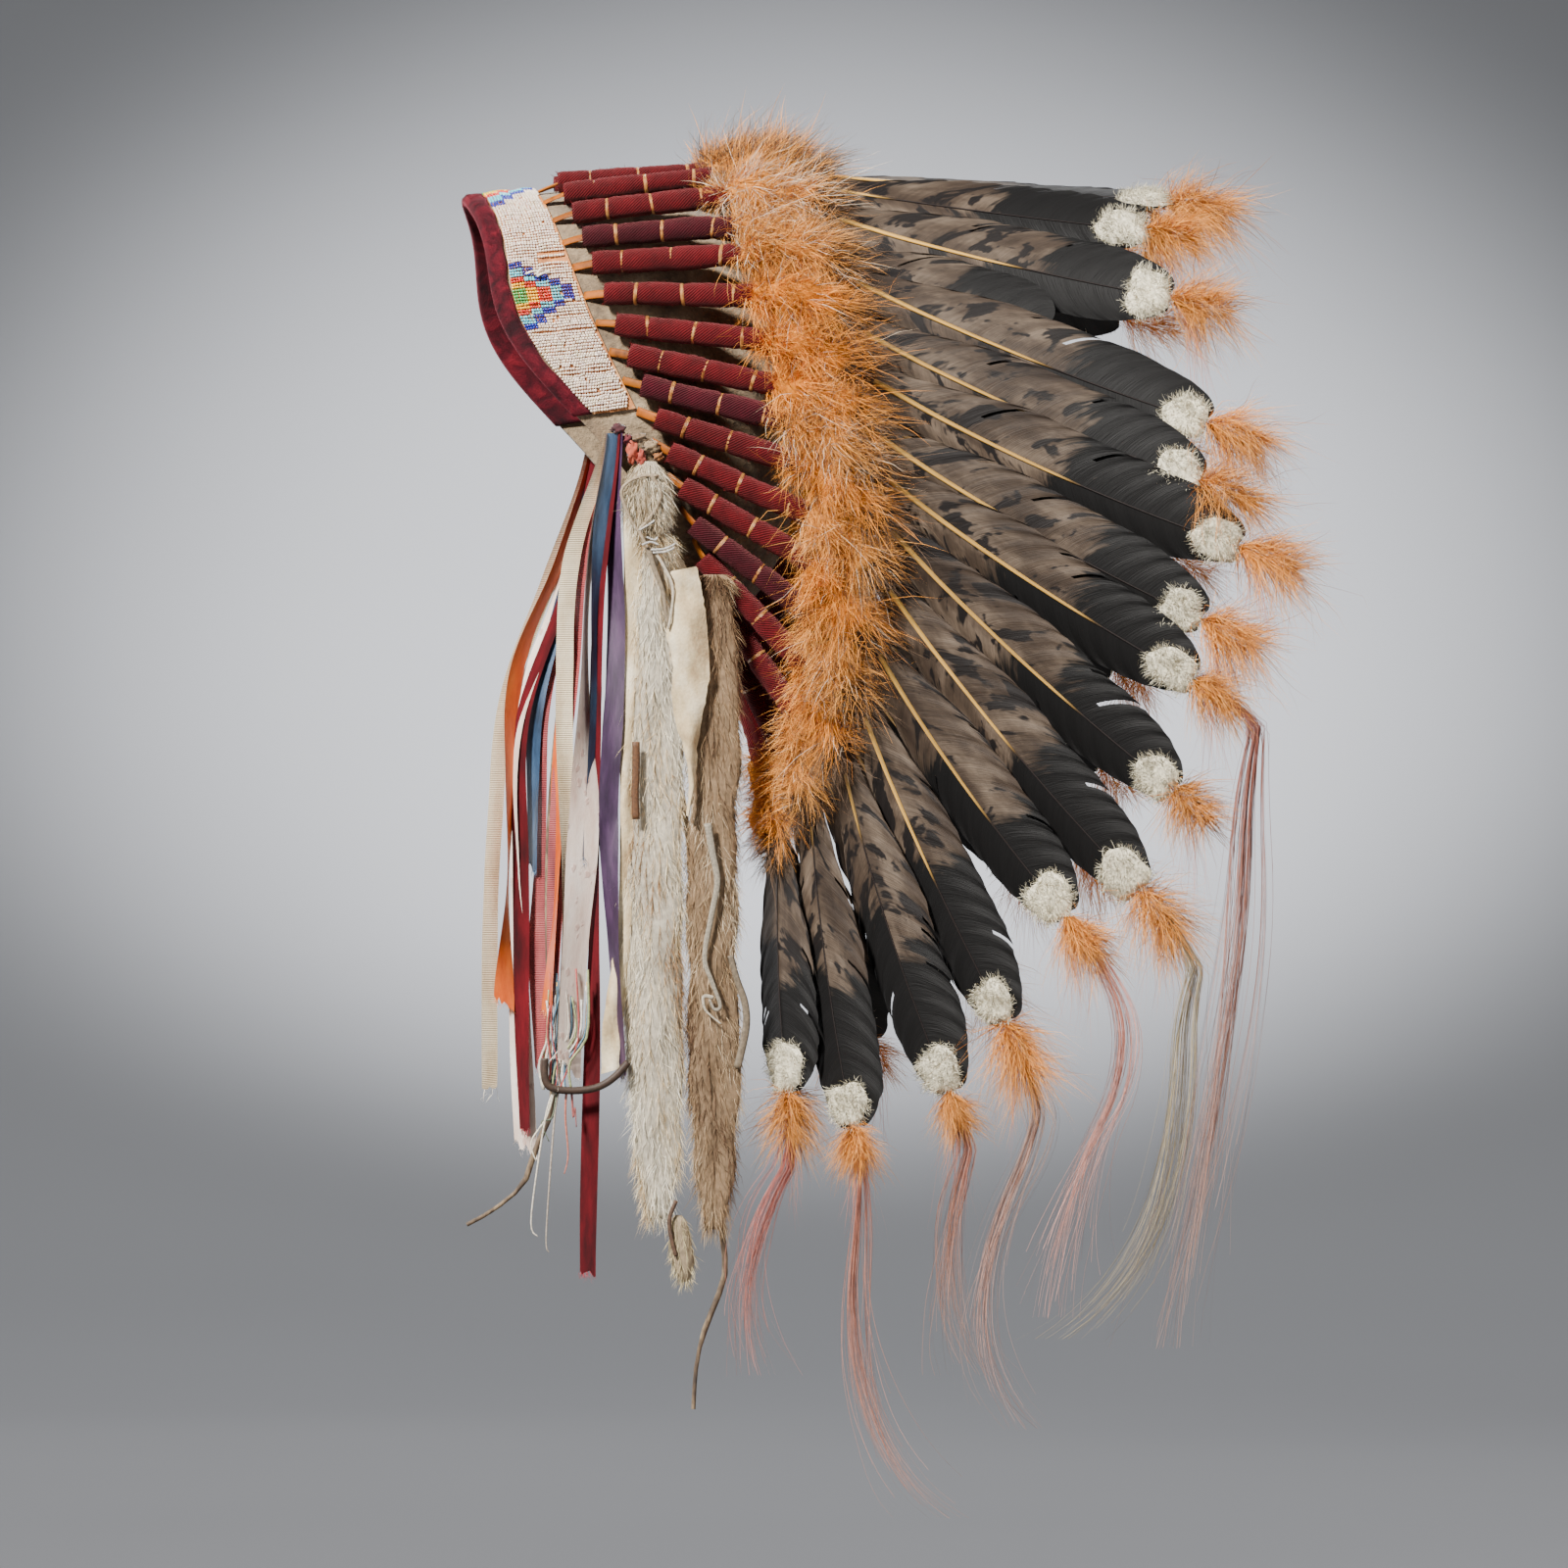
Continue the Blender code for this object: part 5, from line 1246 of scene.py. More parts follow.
def lock_line(number):
    """Middle line of one hair lock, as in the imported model, sampled finely and begun inside its tuft."""
    feather, length_share, pitches = LOCKS[number][:3]
    path = PATHS[-1][feather - 1]
    end = path[0] + TUFT_LENGTH * FEATHERS[feather - 1][7]
    here, out, _, ahead = feather_frame(PATHS[-1], feather - 1, end, VANE_ROLL_DEG)[:4]
    start = here[0] + out[0] * WRAP_RADIUS + ahead[0] * LOCK_GAP
    steps = 64
    share = (np.arange(steps) + 0.5) / steps
    pitch = np.radians(np.interp(share, np.linspace(0, 1, len(pitches)), pitches))
    heads = unit(np.stack((np.cos(pitch), np.full(len(pitch), -0.04), np.sin(pitch)), -1))
    line = start + np.concatenate((np.zeros((1, 3)),
                                   np.cumsum(heads * LOCK_LENGTH * length_share / steps, axis=0)))
    reach = TUFT_LENGTH * FEATHERS[feather - 1][7] * 0.8
    lead = start - ahead[0] * reach * np.linspace(1.0, 0.12, 7)[:, None]
    return np.concatenate((lead, line))


def make_locks(looks):
    """Hair locks: long wavy hairs that follow each lock's line and spread at its end."""
    rng = np.random.default_rng(101)
    pile = Pile()
    for number in range(len(LOCKS)):
        line = lock_line(number)
        walked = np.concatenate(([0.0], np.cumsum(np.linalg.norm(np.diff(line, axis=0), axis=-1))))
        first, second = (paint(*c) for c in LOCKS[number][3:5])
        hairs = 170 if number == 0 else 110
        steps = 22
        share = np.linspace(0.0, 1.0, steps + 1)
        strand = rng.integers(0, 9, hairs)
        length_share = np.clip(rng.normal(0.86, 0.13, hairs) - 0.10 * (strand > 5), 0.40, 1.03)
        at = np.clip(share[None] * length_share[:, None], 0, 1) * walked[-1]
        middle = np.stack([np.interp(at, walked, line[:, k]) for k in range(3)], -1)
        along = at / walked[-1]
        fullness = np.interp(along, np.linspace(0, 1, 9), (0.20, 0.25, 0.35, 0.45, 0.55, 0.65, 0.8, 1.0, 1.3))
        angle = rng.uniform(0, 2 * np.pi, hairs)
        radius = np.sqrt(rng.random(hairs)) * LOCK_WIDTH / 2 * 0.55
        stray = rng.random(hairs) < 0.20
        radius[stray] *= 4.5
        # Nine strands of the lock cross and part from each other along its length
        far = rng.normal(size=9) * 0.0055
        turns = rng.uniform(1.5, 7.0, 9)
        drift = rng.normal(size=9) * 0.004
        strand_tone = rng.uniform(0.55, 1.2, 9)
        part_x = far[strand][:, None] * np.sin(along * turns[strand][:, None])
        part_x = part_x + drift[strand][:, None] * along ** 2
        part_y = drift[strand][:, None] * along
        tail = rng.normal(size=(hairs, 2)) * np.where(stray, 0.014, 0.006)[:, None]
        wave = 0.0010 * np.sin(along * rng.uniform(9, 17, (hairs, 1))
                               + rng.uniform(0, 6.28, (hairs, 1))) * along
        shift_x = np.cos(angle)[:, None] * radius[:, None] * fullness + wave + part_x
        shift_x = shift_x + tail[:, :1] * along ** 3
        shift_y = np.sin(angle)[:, None] * radius[:, None] * fullness * 0.7 + part_y
        shift_y = shift_y + tail[:, 1:] * along ** 3 * 0.5
        points = middle + np.stack((shift_x, shift_y, np.zeros_like(shift_x)), -1)
        forward = unit(np.gradient(points, axis=1))
        side = unit(np.cross(forward, rng.normal(size=(hairs, 1, 3))))
        width = rng.uniform(0.00018, 0.00036, (hairs, 1, 1)) * (1 - 0.6 * share[None, :, None]) / 2
        pair = np.stack((points - side * width, points + side * width), 2).reshape(hairs, -1, 3)
        each = (steps + 1) * 2
        face = np.arange(hairs)[:, None] * each + np.array([[0, 1, 3, 2]])
        quads = np.concatenate([face + 2 * k for k in range(steps)])
        tone = rng.uniform(0.7, 1.1, (hairs, 1, 1)) * strand_tone[strand][:, None, None]
        cool = rng.random((hairs, 1, 1)) < 0.15
        tint = (first + (second - first) * share[None, :, None]) * tone
        tint = np.where(cool, tint * np.array((0.66, 0.54, 0.50)), tint)
        pile.add(pair, quads, None, np.repeat(tint, 2, axis=1).reshape(-1, 3))
    pile.make("hair_locks", looks["hair"], "hair", [f"hair_lock_{n}" for n in range(1, 8)])


FRAY_COLOURS = {
    "cream": (240, 230, 210), "burgundy": (160, 50, 60), "brocade": (236, 220, 206), "orange": (224, 130, 70),
    "salmon": (204, 110, 104), "blue": (86, 120, 150), "purple": (110, 84, 116)}
RIBBON_END_CUTS = {"brocade": 0.7, "orange": 0.6, "blue": 0.3, "cream": -0.08}


def ribbon_depth():
    return max(-cap_points(SEAT_ROW, SEAT_DEG + turn)[1] for turn in (-3.0, 0.0, 3.0))


def curve_through(values, share):
    """A smooth reading of evenly spaced values."""
    values = np.asarray(values, float)
    place = np.clip(share, 0, 1) * (len(values) - 1)
    index = np.clip(place.astype(int), 0, len(values) - 2)
    t = place - index
    a, b = values[np.maximum(index - 1, 0)], values[index]
    c, d = values[index + 1], values[np.minimum(index + 2, len(values) - 1)]
    return 0.5 * (2 * b + (c - a) * t + (2 * a - 5 * b + 4 * c - d) * t ** 2
                  + (3 * b - a - 3 * c + d) * t ** 3)


def make_ribbons(looks):
    """Flat hanging straps, each with its woven finish, and the frayed threads at their ends."""
    rng = np.random.default_rng(120)
    seat, depth = cap_points(SEAT_ROW, SEAT_DEG), ribbon_depth()
    frays = Pile()
    for name, side, layer, width_share, length_share, sways, finish in RIBBONS:
        rows, columns = 130, 9
        share = np.linspace(0.0, 1.0, rows)
        turns, top_layer, end_layer = RIBBON_TURNS[name]
        width = NARROW_RIBBON if finish == "cream" else max(NARROW_RIBBON, RIBBON_WIDTH * width_share)
        length = RIBBON_LENGTH * length_share
        layers = top_layer + (end_layer - top_layer) * soft_step(share, 0.25, 0.60)
        level = depth + GAP + layers * (RIBBON_WALL + GAP) + RIBBON_WALL / 2
        settle = soft_step(share, 0.05, 0.30)
        middle_x = seat[0] + curve_through(sways, share) * RIBBON_LENGTH
        middle_x = middle_x + RIBBON_SHIFTS.get(name, 0.0) * settle
        middle_x = middle_x + 0.0005 * np.sin(share * rng.uniform(9, 15) + rng.uniform(0, 6)) * settle
        middle_z = seat[2] + RIBBON_WIDTH * 0.2 - length * share
        shown = np.clip(curve_through(turns, share), 0.12, 1.0)
        angle = np.arccos(shown) * (1 if rng.random() < 0.5 else -1)
        angle = angle + 0.12 * np.sin(share * rng.uniform(8, 16) + rng.uniform(0, 6)) * settle
        flutter = 0.0005 * np.sin(share * rng.uniform(8, 14) + rng.uniform(0, 6)) * settle
        across = np.linspace(-0.5, 0.5, columns)
        edge_wave = 1.0 + 0.012 * wobble(rng, rows, 16, 0.3)
        u = across[None] * (width * edge_wave)[:, None]
        arch = (across[None] ** 2 - 0.08) * 0.0030 * settle[:, None]
        arch = arch * np.sin(share * 6 + rng.uniform(0, 6))[:, None]
        x = middle_x[:, None] + u * np.cos(angle)[:, None]
        y = (level + flutter)[:, None] + u * np.sin(angle)[:, None] * 0.8 + arch
        cut = RIBBON_END_CUTS.get(finish, 0.15)
        end_part = np.clip((share[:, None] - 0.93) / 0.07, 0, 1)
        z = middle_z[:, None] - across[None] * width * cut * end_part
        z[-1] += rng.normal(size=columns) * (0.0004 if finish == "cream" else 0.0013)
        points = np.stack((x, side * y, z), -1)
        lay = np.stack((u * 1000 + 50.0, np.repeat((share * length * 1000)[:, None], columns, 1),
                        np.full((rows, columns), layer * 3.0 + side)), -1)
        pile = Pile()
        pile.add(points, grid_quads(rows, columns), None, (1, 1, 1), lay.reshape(-1, 3))
        item = pile.make(name + "_cloth", looks[finish], "ribbon_" + finish, [name])
        count = 8 if finish == "cream" else 34
        pick = rng.uniform(0, columns - 1, count)
        roots = np.stack([np.interp(pick, np.arange(columns), points[-1, :, k]) for k in range(3)], -1)
        heads = unit(np.array((0.0, 0.0, -1.0)) + rng.normal(size=(count, 3)) * 0.25)
        shade = paint(*FRAY_COLOURS[finish])
        add_strands(frays, rng, roots, heads,
                    rng.uniform(0.001, 0.006, count) * (2.0 if finish == "cream" else 1.0), 0.00024,
                    shade, shade, segments=3, curl=0.25)
    frays.make("ribbon_frays", looks["hair"], "ribbon_cream")


def fur_place():
    seat = cap_points(SEAT_ROW, SEAT_DEG)
    reach = -cap_points(SEAT_ROW, KNOT_SEAT_DEG)[1] + GAP + KNOT_DEPTH / 2
    return np.array((seat[0] + KNOT_WIDTH * 0.66, -reach, seat[2] - KNOT_LENGTH * 0.80))


def coat(pile, rng, rings, middle, count, lengths, colours, lie):
    """Covers rings of points with short fur that lies down along them, in patches of the colours."""
    rows, sides = rings.shape[:2]
    a, b = rng.uniform(0, rows - 1.001, count), rng.integers(0, sides, count)
    i = a.astype(int)
    t = (a - i)[:, None]
    roots = rings[i, b] * (1 - t) + rings[i + 1, b] * t
    centre = middle[i] * (1 - t) + middle[i + 1] * t
    radial = unit(roots - centre)
    heads = unit(radial * lie + np.array((0.0, 0.0, -1.0)) + rng.normal(size=(count, 3)) * 0.30)
    patch = np.sin(roots[:, 2] * 61 + roots[:, 0] * 210) + np.sin(roots[:, 2] * 23 + roots[:, 0] * 90 + 2.0)
    patch = patch + rng.normal(size=count) * 0.55
    which = np.clip(((patch + 2.2) / 4.4 * len(colours)).astype(int), 0, len(colours) - 1)
    shade = np.array([lin(c) for c in colours])[which] * rng.uniform(0.78, 1.14, (count, 1))
    bend = np.array((0.0, 0.0, -0.35)) + rng.normal(size=(count, 3)) * 0.18
    lengths, widths = rng.uniform(*lengths, count), rng.uniform(0.00022, 0.00042, count)
    # Each hair is painted at 0.72 of its colour at the root: painted shade at the foot of the coat.
    add_strands(pile, rng, roots, heads, lengths, widths, shade * 0.72, shade, bend, 0.12, 2)


# Colours of the long strip and of the tan strip: the skin, and the coat from dark to light
SKIN_TONES = ((226, 214, 192), (160, 132, 102))
COAT_COLOURS = (
    ((170, 132, 92), (228, 200, 154), (246, 232, 202), (250, 242, 222)),
    ((96, 70, 50), (146, 116, 84), (190, 162, 126), (222, 200, 168)))


def make_fur(looks):
    """The tied fur at the temple and the two long strips, each a skin under a coat of hair."""
    rng = np.random.default_rng(140)
    middle = fur_place()
    hair, skin = Pile(), Pile()
    rows, sides = 26, 22
    share = np.linspace(0.0, 1.0, rows)
    fullness = np.interp(share, (0.0, 0.2, 0.5, 0.8, 1.0), (0.45, 0.9, 1.0, 0.85, 0.4))
    line = middle + np.stack((np.zeros(rows), np.zeros(rows), KNOT_LENGTH * (0.5 - share)), -1)
    across, deep = np.tile((1.0, 0.0, 0.0), (rows, 1)), np.tile((0.0, 1.0, 0.0), (rows, 1))
    rings = tube(line, across, deep, KNOT_WIDTH / 2 * fullness, KNOT_DEPTH / 2 * fullness, sides)
    # The knot's skin is painted at 0.7 of its tone: painted shade under its coat of hair.
    add_closed(skin, -1, rings, line[[0, -1]], paint(206, 192, 170) * 0.7)
    whites = ((150, 126, 96), (214, 194, 160), (240, 228, 202), (246, 240, 224))
    coat(hair, rng, rings, line, 5200, (0.004, 0.010), whites, 0.55)
    back = (FUR_WIDTH - KNOT_WIDTH) * 0.4
    tan_hair, tan_skin = Pile(), Pile()
    for number, (start, length_share, width_share, depth_share) in enumerate(FUR_STRIPS):
        top = middle + np.array((back, 0.0, -KNOT_LENGTH * (0.5 + start) - GAP))
        back += FUR_WIDTH * (1.0 + FUR_STRIPS[-1][2]) / 2.0 + GAP
        length = FUR_LENGTH * length_share
        rows, sides = 130, 26
        share = np.linspace(0.0, 1.0, rows)
        fullness = np.interp(share, np.linspace(0, 1, len(FUR_PROFILE)), FUR_PROFILE)
        ragged = 1.0 + 0.07 * wobble(rng, rows, 14, 0.5)
        drop = start * KNOT_LENGTH + length * share
        sway = FUR_WIDTH * 0.03 * np.sin(7.0 * drop / FUR_LENGTH)
        line = top + np.stack((sway, np.zeros(rows), -length * share), -1)
        across, deep = np.tile((1.0, 0.0, 0.0), (rows, 1)), np.tile((0.0, 1.0, 0.0), (rows, 1))
        half = FUR_WIDTH * width_share / 2 * fullness * ragged * 0.93
        tall = FUR_DEPTH * depth_share / 2 * np.maximum(0.6, fullness) * 0.8
        rings = tube(line, across, deep, half, tall, sides)
        radial = unit(rings - line[:, None])
        turn = 2 * np.pi * np.arange(sides) / sides
        ridge = 0.0012 * np.sin(3 * turn[None] + 9 * share[:, None] + number)
        ridge = ridge + 0.0008 * np.sin(50 * share[:, None] + 2 * turn[None])
        rings = rings + radial * (ridge * np.minimum(1, 8 * share)[:, None])[..., None]
        # Each strip's skin is painted at 0.62 of its tone: painted shade under its coat of hair.
        add_closed((skin, tan_skin)[number], -1, rings, line[[0, -1]], paint(*SKIN_TONES[number]) * 0.62)
        colours = COAT_COLOURS[number]
        coat((hair, tan_hair)[number], rng, rings, line, (13000, 10000)[number], (0.004, 0.011),
             colours, 0.26)
        coat((hair, tan_hair)[number], rng, rings[:3], line[:3], 500, (0.005, 0.011), colours, 1.5)
    skin.make("fur_pale_skin", looks["fur"], "fur", ["fur_knot", "fur_strip_long"])
    hair.make("fur_pale_hair", looks["fur"], "fur")
    tan_skin.make("fur_tan_skin", looks["fur"], "fur_tan", ["fur_strip_tan"])
    tan_hair.make("fur_tan_hair", looks["fur"], "fur_tan")


def make_stage(looks):
    """A floor that curves up into a wall all round, and soft lights."""
    floor = float(CAD_BOX[0][2]) - 0.35
    profile = [(6.5, 0.0)]
    profile += [(6.5 + 4.0 * math.sin(a), 4.0 - 4.0 * math.cos(a)) for a in np.linspace(0.1, math.pi / 2, 14)]
    profile += [(10.5, 9.0)]
    sides = 96
    points = [(r * math.cos(2 * math.pi * k / sides), r * math.sin(2 * math.pi * k / sides), floor + h)
              for r, h in profile for k in range(sides)]
    faces = [tuple(int(v) for v in q[::-1]) for q in grid_quads(len(profile), sides, True)]
    points.append((0.0, 0.0, floor))
    faces += [(k, (k + 1) % sides, len(points) - 1) for k in range(sides)]
    mesh = bpy.data.meshes.new("backdrop")
    mesh.from_pydata(points, [], faces)
    mesh.shade_smooth()
    mesh.materials.append(looks["stage"].material)
    item = bpy.data.objects.new("backdrop", mesh)
    bpy.context.scene.collection.objects.link(item)

    def light(name, kind, place, target, power, colour=(1.0, 1.0, 1.0), **values):
        data = bpy.data.lights.new(name, kind)
        data.energy, data.color = power, colour
        for key, value in values.items():
            setattr(data, key, value)
        lamp = bpy.data.objects.new(name, data)
        lamp.location = place
        lamp.rotation_mode = "QUATERNION"
        lamp.rotation_quaternion = (Vector(target) - Vector(place)).to_track_quat("-Z", "Y")
        bpy.context.scene.collection.objects.link(lamp)

    aim = (0.12, 0.0, -0.30)
    light("key", "AREA", (-2.4, -2.8, 2.7), aim, 800.0, (1.0, 0.975, 0.93), shape="DISK", size=0.8)
    light("fill", "AREA", (3.2, -3.4, 0.4), aim, 70.0, shape="DISK", size=2.4)
    light("rim", "AREA", (2.4, 3.4, 2.2), aim, 190.0, shape="DISK", size=1.6)
    light("far_fill", "AREA", (-3.0, 2.6, 0.8), aim, 100.0, shape="DISK", size=2.2)
    light("wall_glow", "SPOT", (0.5, 4.2, 2.9), (0.9, 9.0, -0.1), 15000.0, spot_size=0.52, spot_blend=1.0,
          shadow_soft_size=0.3)
    light("far_floor", "AREA", (0.4, 6.0, 2.4), (0.4, 6.9, -1.0), 300.0, shape="DISK", size=3.4)
    world = bpy.data.worlds.new("world")
    bpy.context.scene.world = world
    world.use_nodes = True
    world.node_tree.nodes["Background"].inputs[0].default_value = (0.88, 0.90, 0.94, 1.0)
    world.node_tree.nodes["Background"].inputs[1].default_value = 0.40


def seen(right, down, depth):
    """A point at a depth along Y that shows at a place of the 1600 wide picture."""
    c, s, step = math.cos(CAMERA_TURN), -math.sin(CAMERA_TURN), 36.0 / CAMERA_LENS / 1600
    k = (right - 800.0) * step
    x = (k * (c * depth + CAMERA_BACK) + AIM_RIGHT + depth * s) / (c - s * k)
    ahead = s * x + c * depth
    return np.array((x, depth, (800.0 - down) * step * (ahead + CAMERA_BACK) + AIM_UP))


def seen_line(places, depth, count=24):
    """A smooth line through places in the picture, each with its own added depth."""
    places = np.array([(*p, 0.0)[:3] for p in places], float)
    share = np.linspace(0.0, 1.0, count)
    right, down, more = (curve_through(places[:, k], share) for k in range(3))
    return np.array([seen(r, d, depth - m) for r, d, m in zip(right, down, more)])


def add_rope(pile, line, radius, tint, sides=7, flat=1.0):
    """A cord along a line, round or flattened, with closed ends."""
    ahead = unit(np.gradient(line, axis=0))
    wide = unit(np.cross(ahead, np.array((0.0, 1.0, 0.0)) + 0.01))
    tall = np.cross(wide, ahead)
    radius = np.broadcast_to(radius, (len(line),))
    rings = tube(line, wide, tall, radius, radius * flat, sides)
    add_closed(pile, -1, rings, line[[0, -1]], tint)


def add_strip(pile, left, right, depth, tint, rng, bulge=0.002, rows=48, columns=9, wall=0.0011):
    """A hide strip between two outlines seen in the picture."""
    a, b = seen_line(left, depth, rows), seen_line(right, depth, rows)
    u = np.linspace(0.0, 1.0, columns)[None, :, None]
    front = a[:, None] * (1 - u) + b[:, None] * u
    ripple = 0.0008 * np.sin(np.linspace(0, 17, rows)[:, None] + 5 * u[..., 0])
    ripple = ripple + 0.0005 * np.sin(np.linspace(0, 41, rows)[:, None] - 3 * u[..., 0])
    front[..., 1] -= bulge * np.sin(np.pi * u[..., 0]) + ripple
    front[..., 0] += (rng.normal(size=(rows, 1)) * 0.00025) * (2 * u[..., 0] - 1)
    back = front.copy()
    back[..., 1] += wall
    for skin in (front, back):
        pile.add(skin, grid_quads(rows, columns), None, tint)
    for edge in (0, columns - 1):
        pile.add(np.stack((front[:, edge], back[:, edge]), 1), grid_quads(rows, 2), None,
                 np.array(tint) * 0.9)
    for end in (0, rows - 1):
        pile.add(np.stack((front[end], back[end]), 1), grid_quads(columns, 2), None, np.array(tint) * 0.9)
    return front


def make_trimmings(looks):
    """Small ties, cords and strips of hide at the temple and over the fur."""
    rng = np.random.default_rng(160)
    knot = fur_place()
    face = knot[1] - KNOT_DEPTH / 2
    fur_face = knot[1] - FUR_DEPTH / 2
    ropes, bits = Pile(), Pile()
    brown, pale, dark = paint(150, 132, 108), paint(214, 200, 176), paint(64, 44, 30)
    loops = (((672, 485), (655, 486), (641, 492), (634, 502), (638, 517), (645, 533), (653, 544), (661, 559)),
             ((664, 485), (674, 500), (671, 516), (660, 532), (653, 542), (661, 559)))
    for line in loops:
        add_rope(ropes, seen_line(line, face - 0.0012, 30), 0.0010, brown * rng.uniform(0.9, 1.2), 7, 0.8)
    white = paint(188, 184, 178)
    for line in (((652, 541), (661, 536), (668, 531)), ((664, 561), (678, 560), (689, 555)),
                 ((666, 564), (679, 563), (688, 559)),
                 ((660, 548), (668, 551), (671, 548)), ((655, 556), (664, 553), (672, 556))):
        add_rope(ropes, seen_line(line, face - 0.0018, 10), 0.0006, white, 6, 0.8)
    # Cords and narrow strips over the fur, and last the stiff thong that crosses the ends of the ribbons:
    # places in the picture, depth, count of points, first and last radius, colour, sides, flatness
    low = -(ribbon_depth() + 8 * (RIBBON_WALL + GAP))
    cords = (
        (((661, 558), (667, 578), (676, 602), (679, 622), (682, 640)),
         fur_face - 0.004, 24, 0.0019, 0.0008, brown * 0.75, 7, 0.4),
        (((666, 560), (677, 577), (686, 597), (686, 617), (682, 642)),
         fur_face - 0.0046, 24, 0.0010, 0.0007, pale * 0.8, 7, 0.6),
        (((649, 757), (649, 785), (648, 810), (649, 836)),
         fur_face - 0.0034, 14, 0.0022, 0.0022, paint(92, 58, 30), 6, 0.25),
        (((722, 840), (727, 870), (732, 900), (726, 934), (719, 977), (727, 1003), (735, 1026),
          (729, 1030), (724, 1020)),
         fur_face - 0.003, 44, 0.0024, 0.0008, pale * 0.42, 7, 0.35),
        (((728, 1018), (718, 1017), (719, 1029), (726, 1037), (736, 1045)),
         fur_face - 0.003, 20, 0.0013, 0.0004, pale * 0.7, 7, 0.5),
        (((745, 975), (752, 1000), (760, 1024), (761, 1050), (752, 1090)),
         fur_face + 0.002, 26, 0.0019, 0.0024, brown * 0.55, 7, 0.3),
        (((690, 1225), (683, 1245), (686, 1268), (690, 1282)),
         fur_face - 0.001, 12, 0.0012, 0.0012, dark * 1.6, 6, 0.7),
        (((556, 1080), (556, 1100), (563, 1110), (584, 1113), (608, 1110), (626, 1100), (641, 1084)),
         low - 0.0015, 36, 0.0022, 0.0022, dark * 0.8, 8, 0.8))
    for line, depth, count, first, last, tint, sides, flat in cords:
        add_rope(ropes, seen_line(line, depth, count), np.linspace(first, last, count), tint, sides, flat)
    # Loose threads round the stiff thong
    threads = ((92, 128, 150), (214, 206, 190), (196, 150, 90), (60, 84, 98), (224, 220, 210),
               (150, 156, 110), (170, 70, 66), (206, 196, 180))
    for number in range(26):
        start = rng.uniform(556, 600)
        end = 566 + (start - 578) * rng.uniform(0.1, 0.7)
        line = ((start, rng.uniform(985, 1030)), (start + rng.normal() * 4, 1055),
                (end + rng.normal() * 4, 1085), (end + rng.normal() * 3, 1112))
        add_rope(ropes, seen_line(line, low + rng.uniform(-0.001, 0.004), 12), rng.uniform(0.0003, 0.0009),
                 paint(*threads[number % 8]), 5, 0.6)
    for start, end, depth_end, colour in ((566, 545, 1185, (224, 214, 190)), (569, 555, 1165, (92, 100, 80)),
                                          (578, 575, 1198, (190, 110, 90)),
                                          (583, 588, 1150, (150, 80, 76)), (567, 541, 1262, (214, 204, 186)),
                                          (571, 558, 1278, (170, 156, 140))):
        line = ((start, 1110), (start * 0.6 + end * 0.4, 1140), (end + rng.normal() * 2, depth_end - 20),
                (end + rng.normal() * 3, depth_end))
        add_rope(ropes, seen_line(line, low + 0.001, 18), np.linspace(0.0008, 0.0003, 18),
                 paint(*colour), 5, 0.6)
    ropes.make("ties_and_threads", looks["cord"], "hide")
    hide = Pile()
    add_strip(hide, ((684, 583), (689, 601), (684, 626), (680, 648), (686, 672), (686, 716), (692, 746),
                     (699, 768), (703, 800), (700, 832)),
              ((711, 578), (716, 602), (721, 636), (724, 688), (717, 728), (712, 762), (709, 800),
               (703, 834)), fur_face - 0.0030, (1, 1, 1), rng, 0.003)
    add_strip(hide, ((636, 520), (636, 640), (632, 760), (633, 860), (629, 950), (620, 1010),
                     (614, 1060), (614, 1096)),
              ((656, 528), (654, 640), (647, 760), (648, 860), (644, 950), (640, 1010), (633, 1060),
               (632, 1090)), fur_face + 0.0035, (0.85, 0.80, 0.70), rng, 0.001)
    hide.make("hide_strips", looks["hide"], "fur")
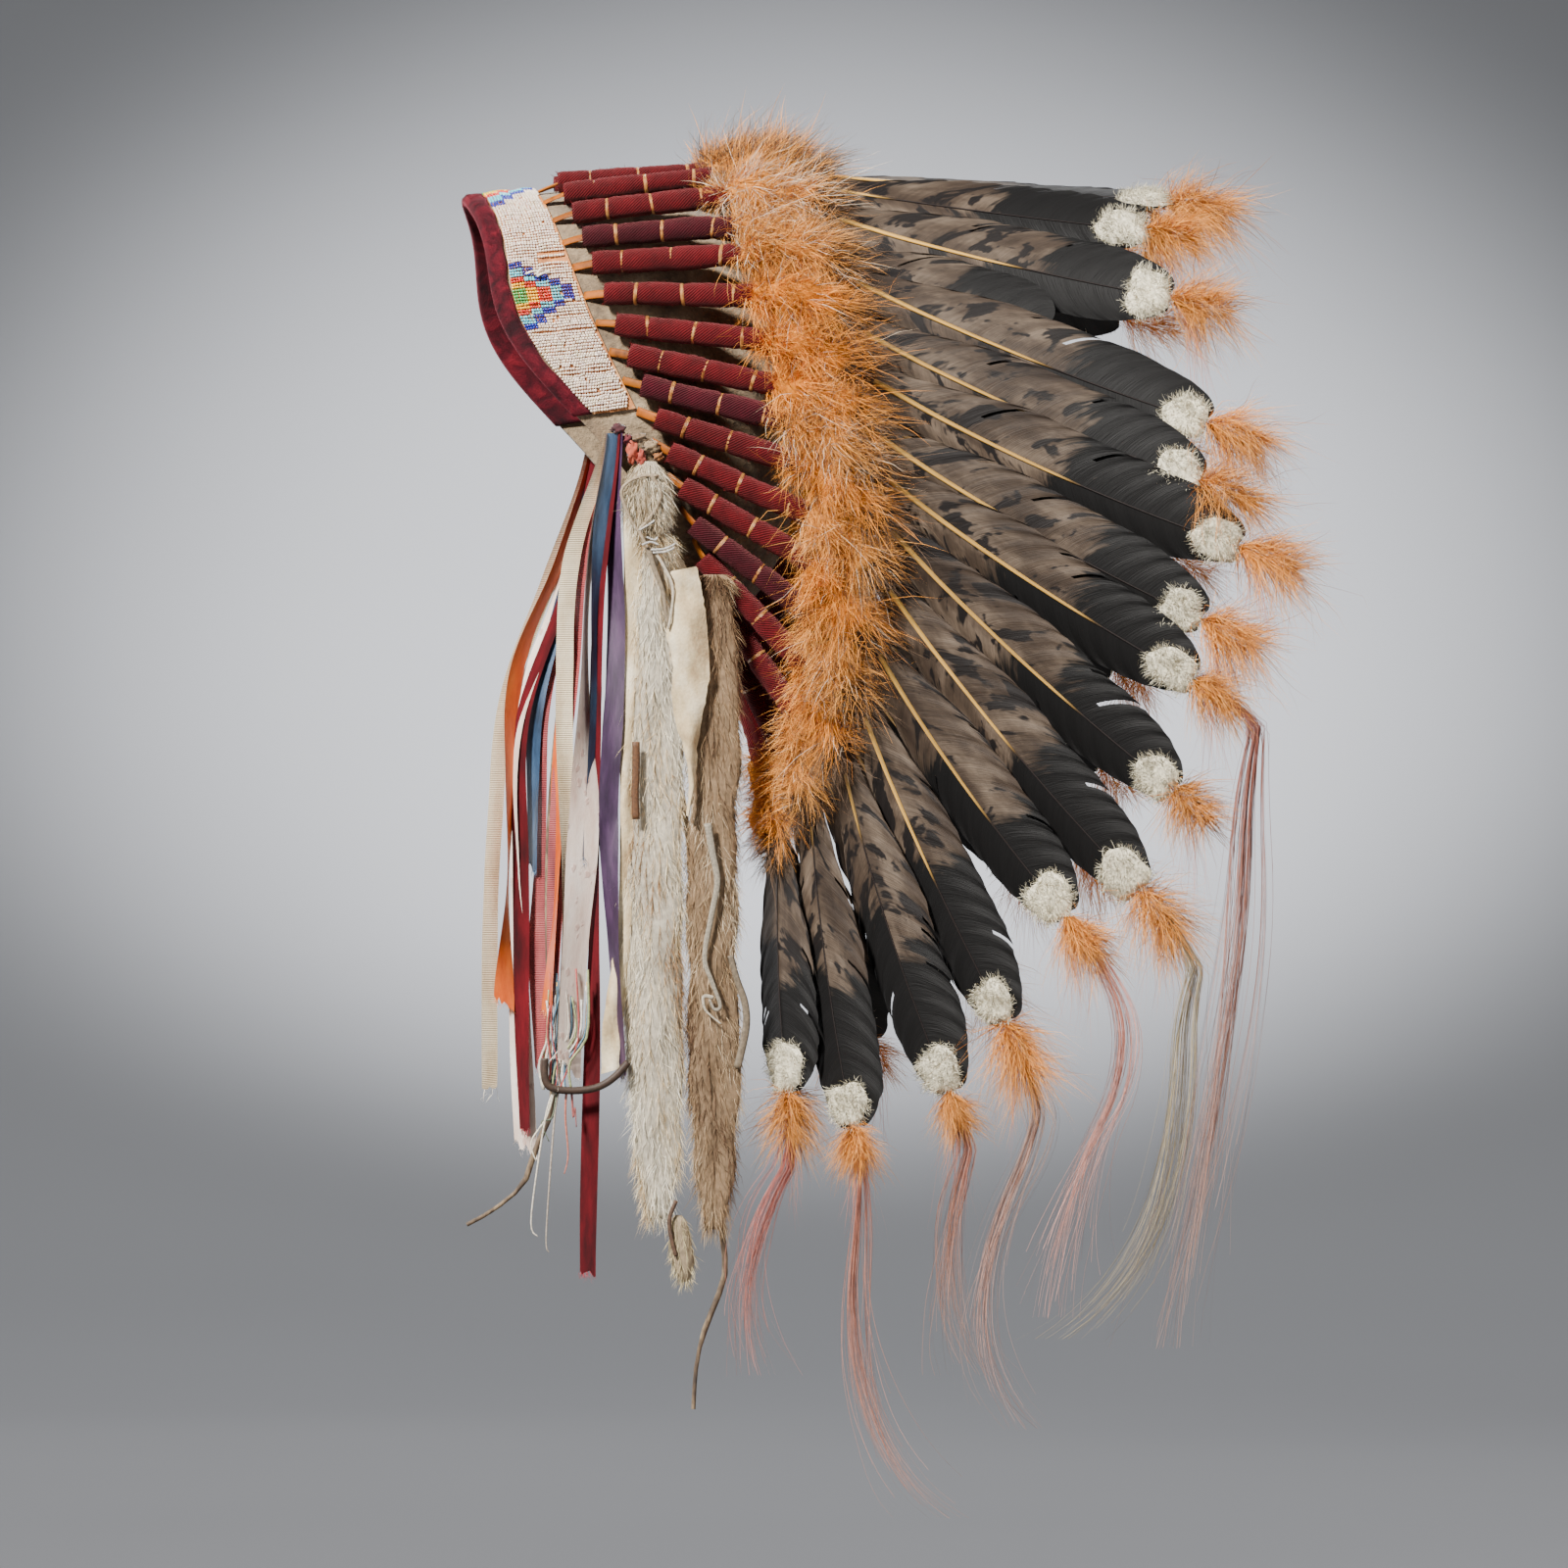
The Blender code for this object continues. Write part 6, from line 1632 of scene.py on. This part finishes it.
    # Crumpled bits of cloth and hide at the temple, where the ribbons are tied
    for place, size, colour in (((645, 461), (0.0050, 0.0095), (176, 72, 44)),
                                ((654, 468), (0.0040, 0.0070), (150, 52, 34)),
                                ((640, 449), (0.0050, 0.0045), (92, 12, 24)),
                                ((652, 447), (0.0075, 0.0036), (120, 96, 70)),
                                ((665, 456), (0.0070, 0.0050), (140, 116, 86)),
                                ((672, 466), (0.0045, 0.0036), (140, 84, 34)),
                                ((631, 438), (0.0065, 0.0045), (64, 10, 20)),
                                ((661, 478), (0.0070, 0.0046), (104, 86, 66))):
        rows, sides = 12, 16
        v = np.linspace(0.04, np.pi - 0.04, rows)[:, None]
        turn = 2 * np.pi * np.arange(sides)[None] / sides
        crease = 1.0 + 0.30 * np.sin(3 * turn + 5 * v + place[0]) + 0.20 * np.sin(5 * turn - 7 * v + place[1])
        crease = crease + rng.normal(size=(rows, sides)) * 0.07
        ball = np.stack((np.sin(v) * np.cos(turn) * size[0] * crease,
                         np.sin(v) * np.sin(turn) * 0.0035 * crease, np.cos(v) * size[1] * crease), -1) * 0.62
        bits.add(seen(place[0], place[1], face + 0.0065) + ball, grid_quads(rows, sides, True), None,
                 paint(*colour))
    bits.make("temple_bits", looks["bits"], "ribbon_salmon")
    # A small fur tail below the long strip
    tail, hair = Pile(), Pile()
    line = seen_line(((692, 1240), (694, 1262), (697, 1285), (699, 1308)), fur_face + 0.003, 12)
    across, deep = np.tile((1.0, 0.0, 0.0), (12, 1)), np.tile((0.0, 1.0, 0.0), (12, 1))
    half = np.array((0.002, 0.004, 0.005, 0.0055, 0.006, 0.0062, 0.0064, 0.0064, 0.006, 0.005, 0.0035, 0.001))
    rings = tube(line, across, deep, half, half * 0.5, 10)
    tail.add(rings, grid_quads(12, 10, True), None, paint(150, 132, 108))
    coat(hair, rng, rings, line, 700, (0.003, 0.007),
         ((120, 100, 80), (170, 150, 120), (206, 190, 150)), 0.35)
    tail.make("small_tail", looks["fur"], "fur_tan")
    hair.make("small_tail_hair", looks["fur"], "fur_tan")


def main():
    looks = make_looks()
    make_camera()
    middle = fur_place()
    inward = THONG_DIAMETER / 2.0 + GAP
    depth = ribbon_depth()
    make_thong("thong_front", THONG_FRONT_ROUTE, depth - inward, looks)
    make_thong("thong_rear", THONG_REAR_ROUTE, -middle[1] - FUR_DEPTH * 0.44 - inward, looks)
    make_cap(looks, np.random.default_rng(1))
    make_band(looks, np.random.default_rng(2))
    make_binding(looks, np.random.default_rng(3))
    for side in (-1, 1):
        make_wraps(side, looks)
        make_vanes(side, looks)
        make_down(side, looks)
        make_pads_and_tufts(side, looks)
    make_locks(looks)
    make_ribbons(looks)
    make_fur(looks)
    make_trimmings(looks)
    make_stage(looks)
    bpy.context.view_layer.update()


main()
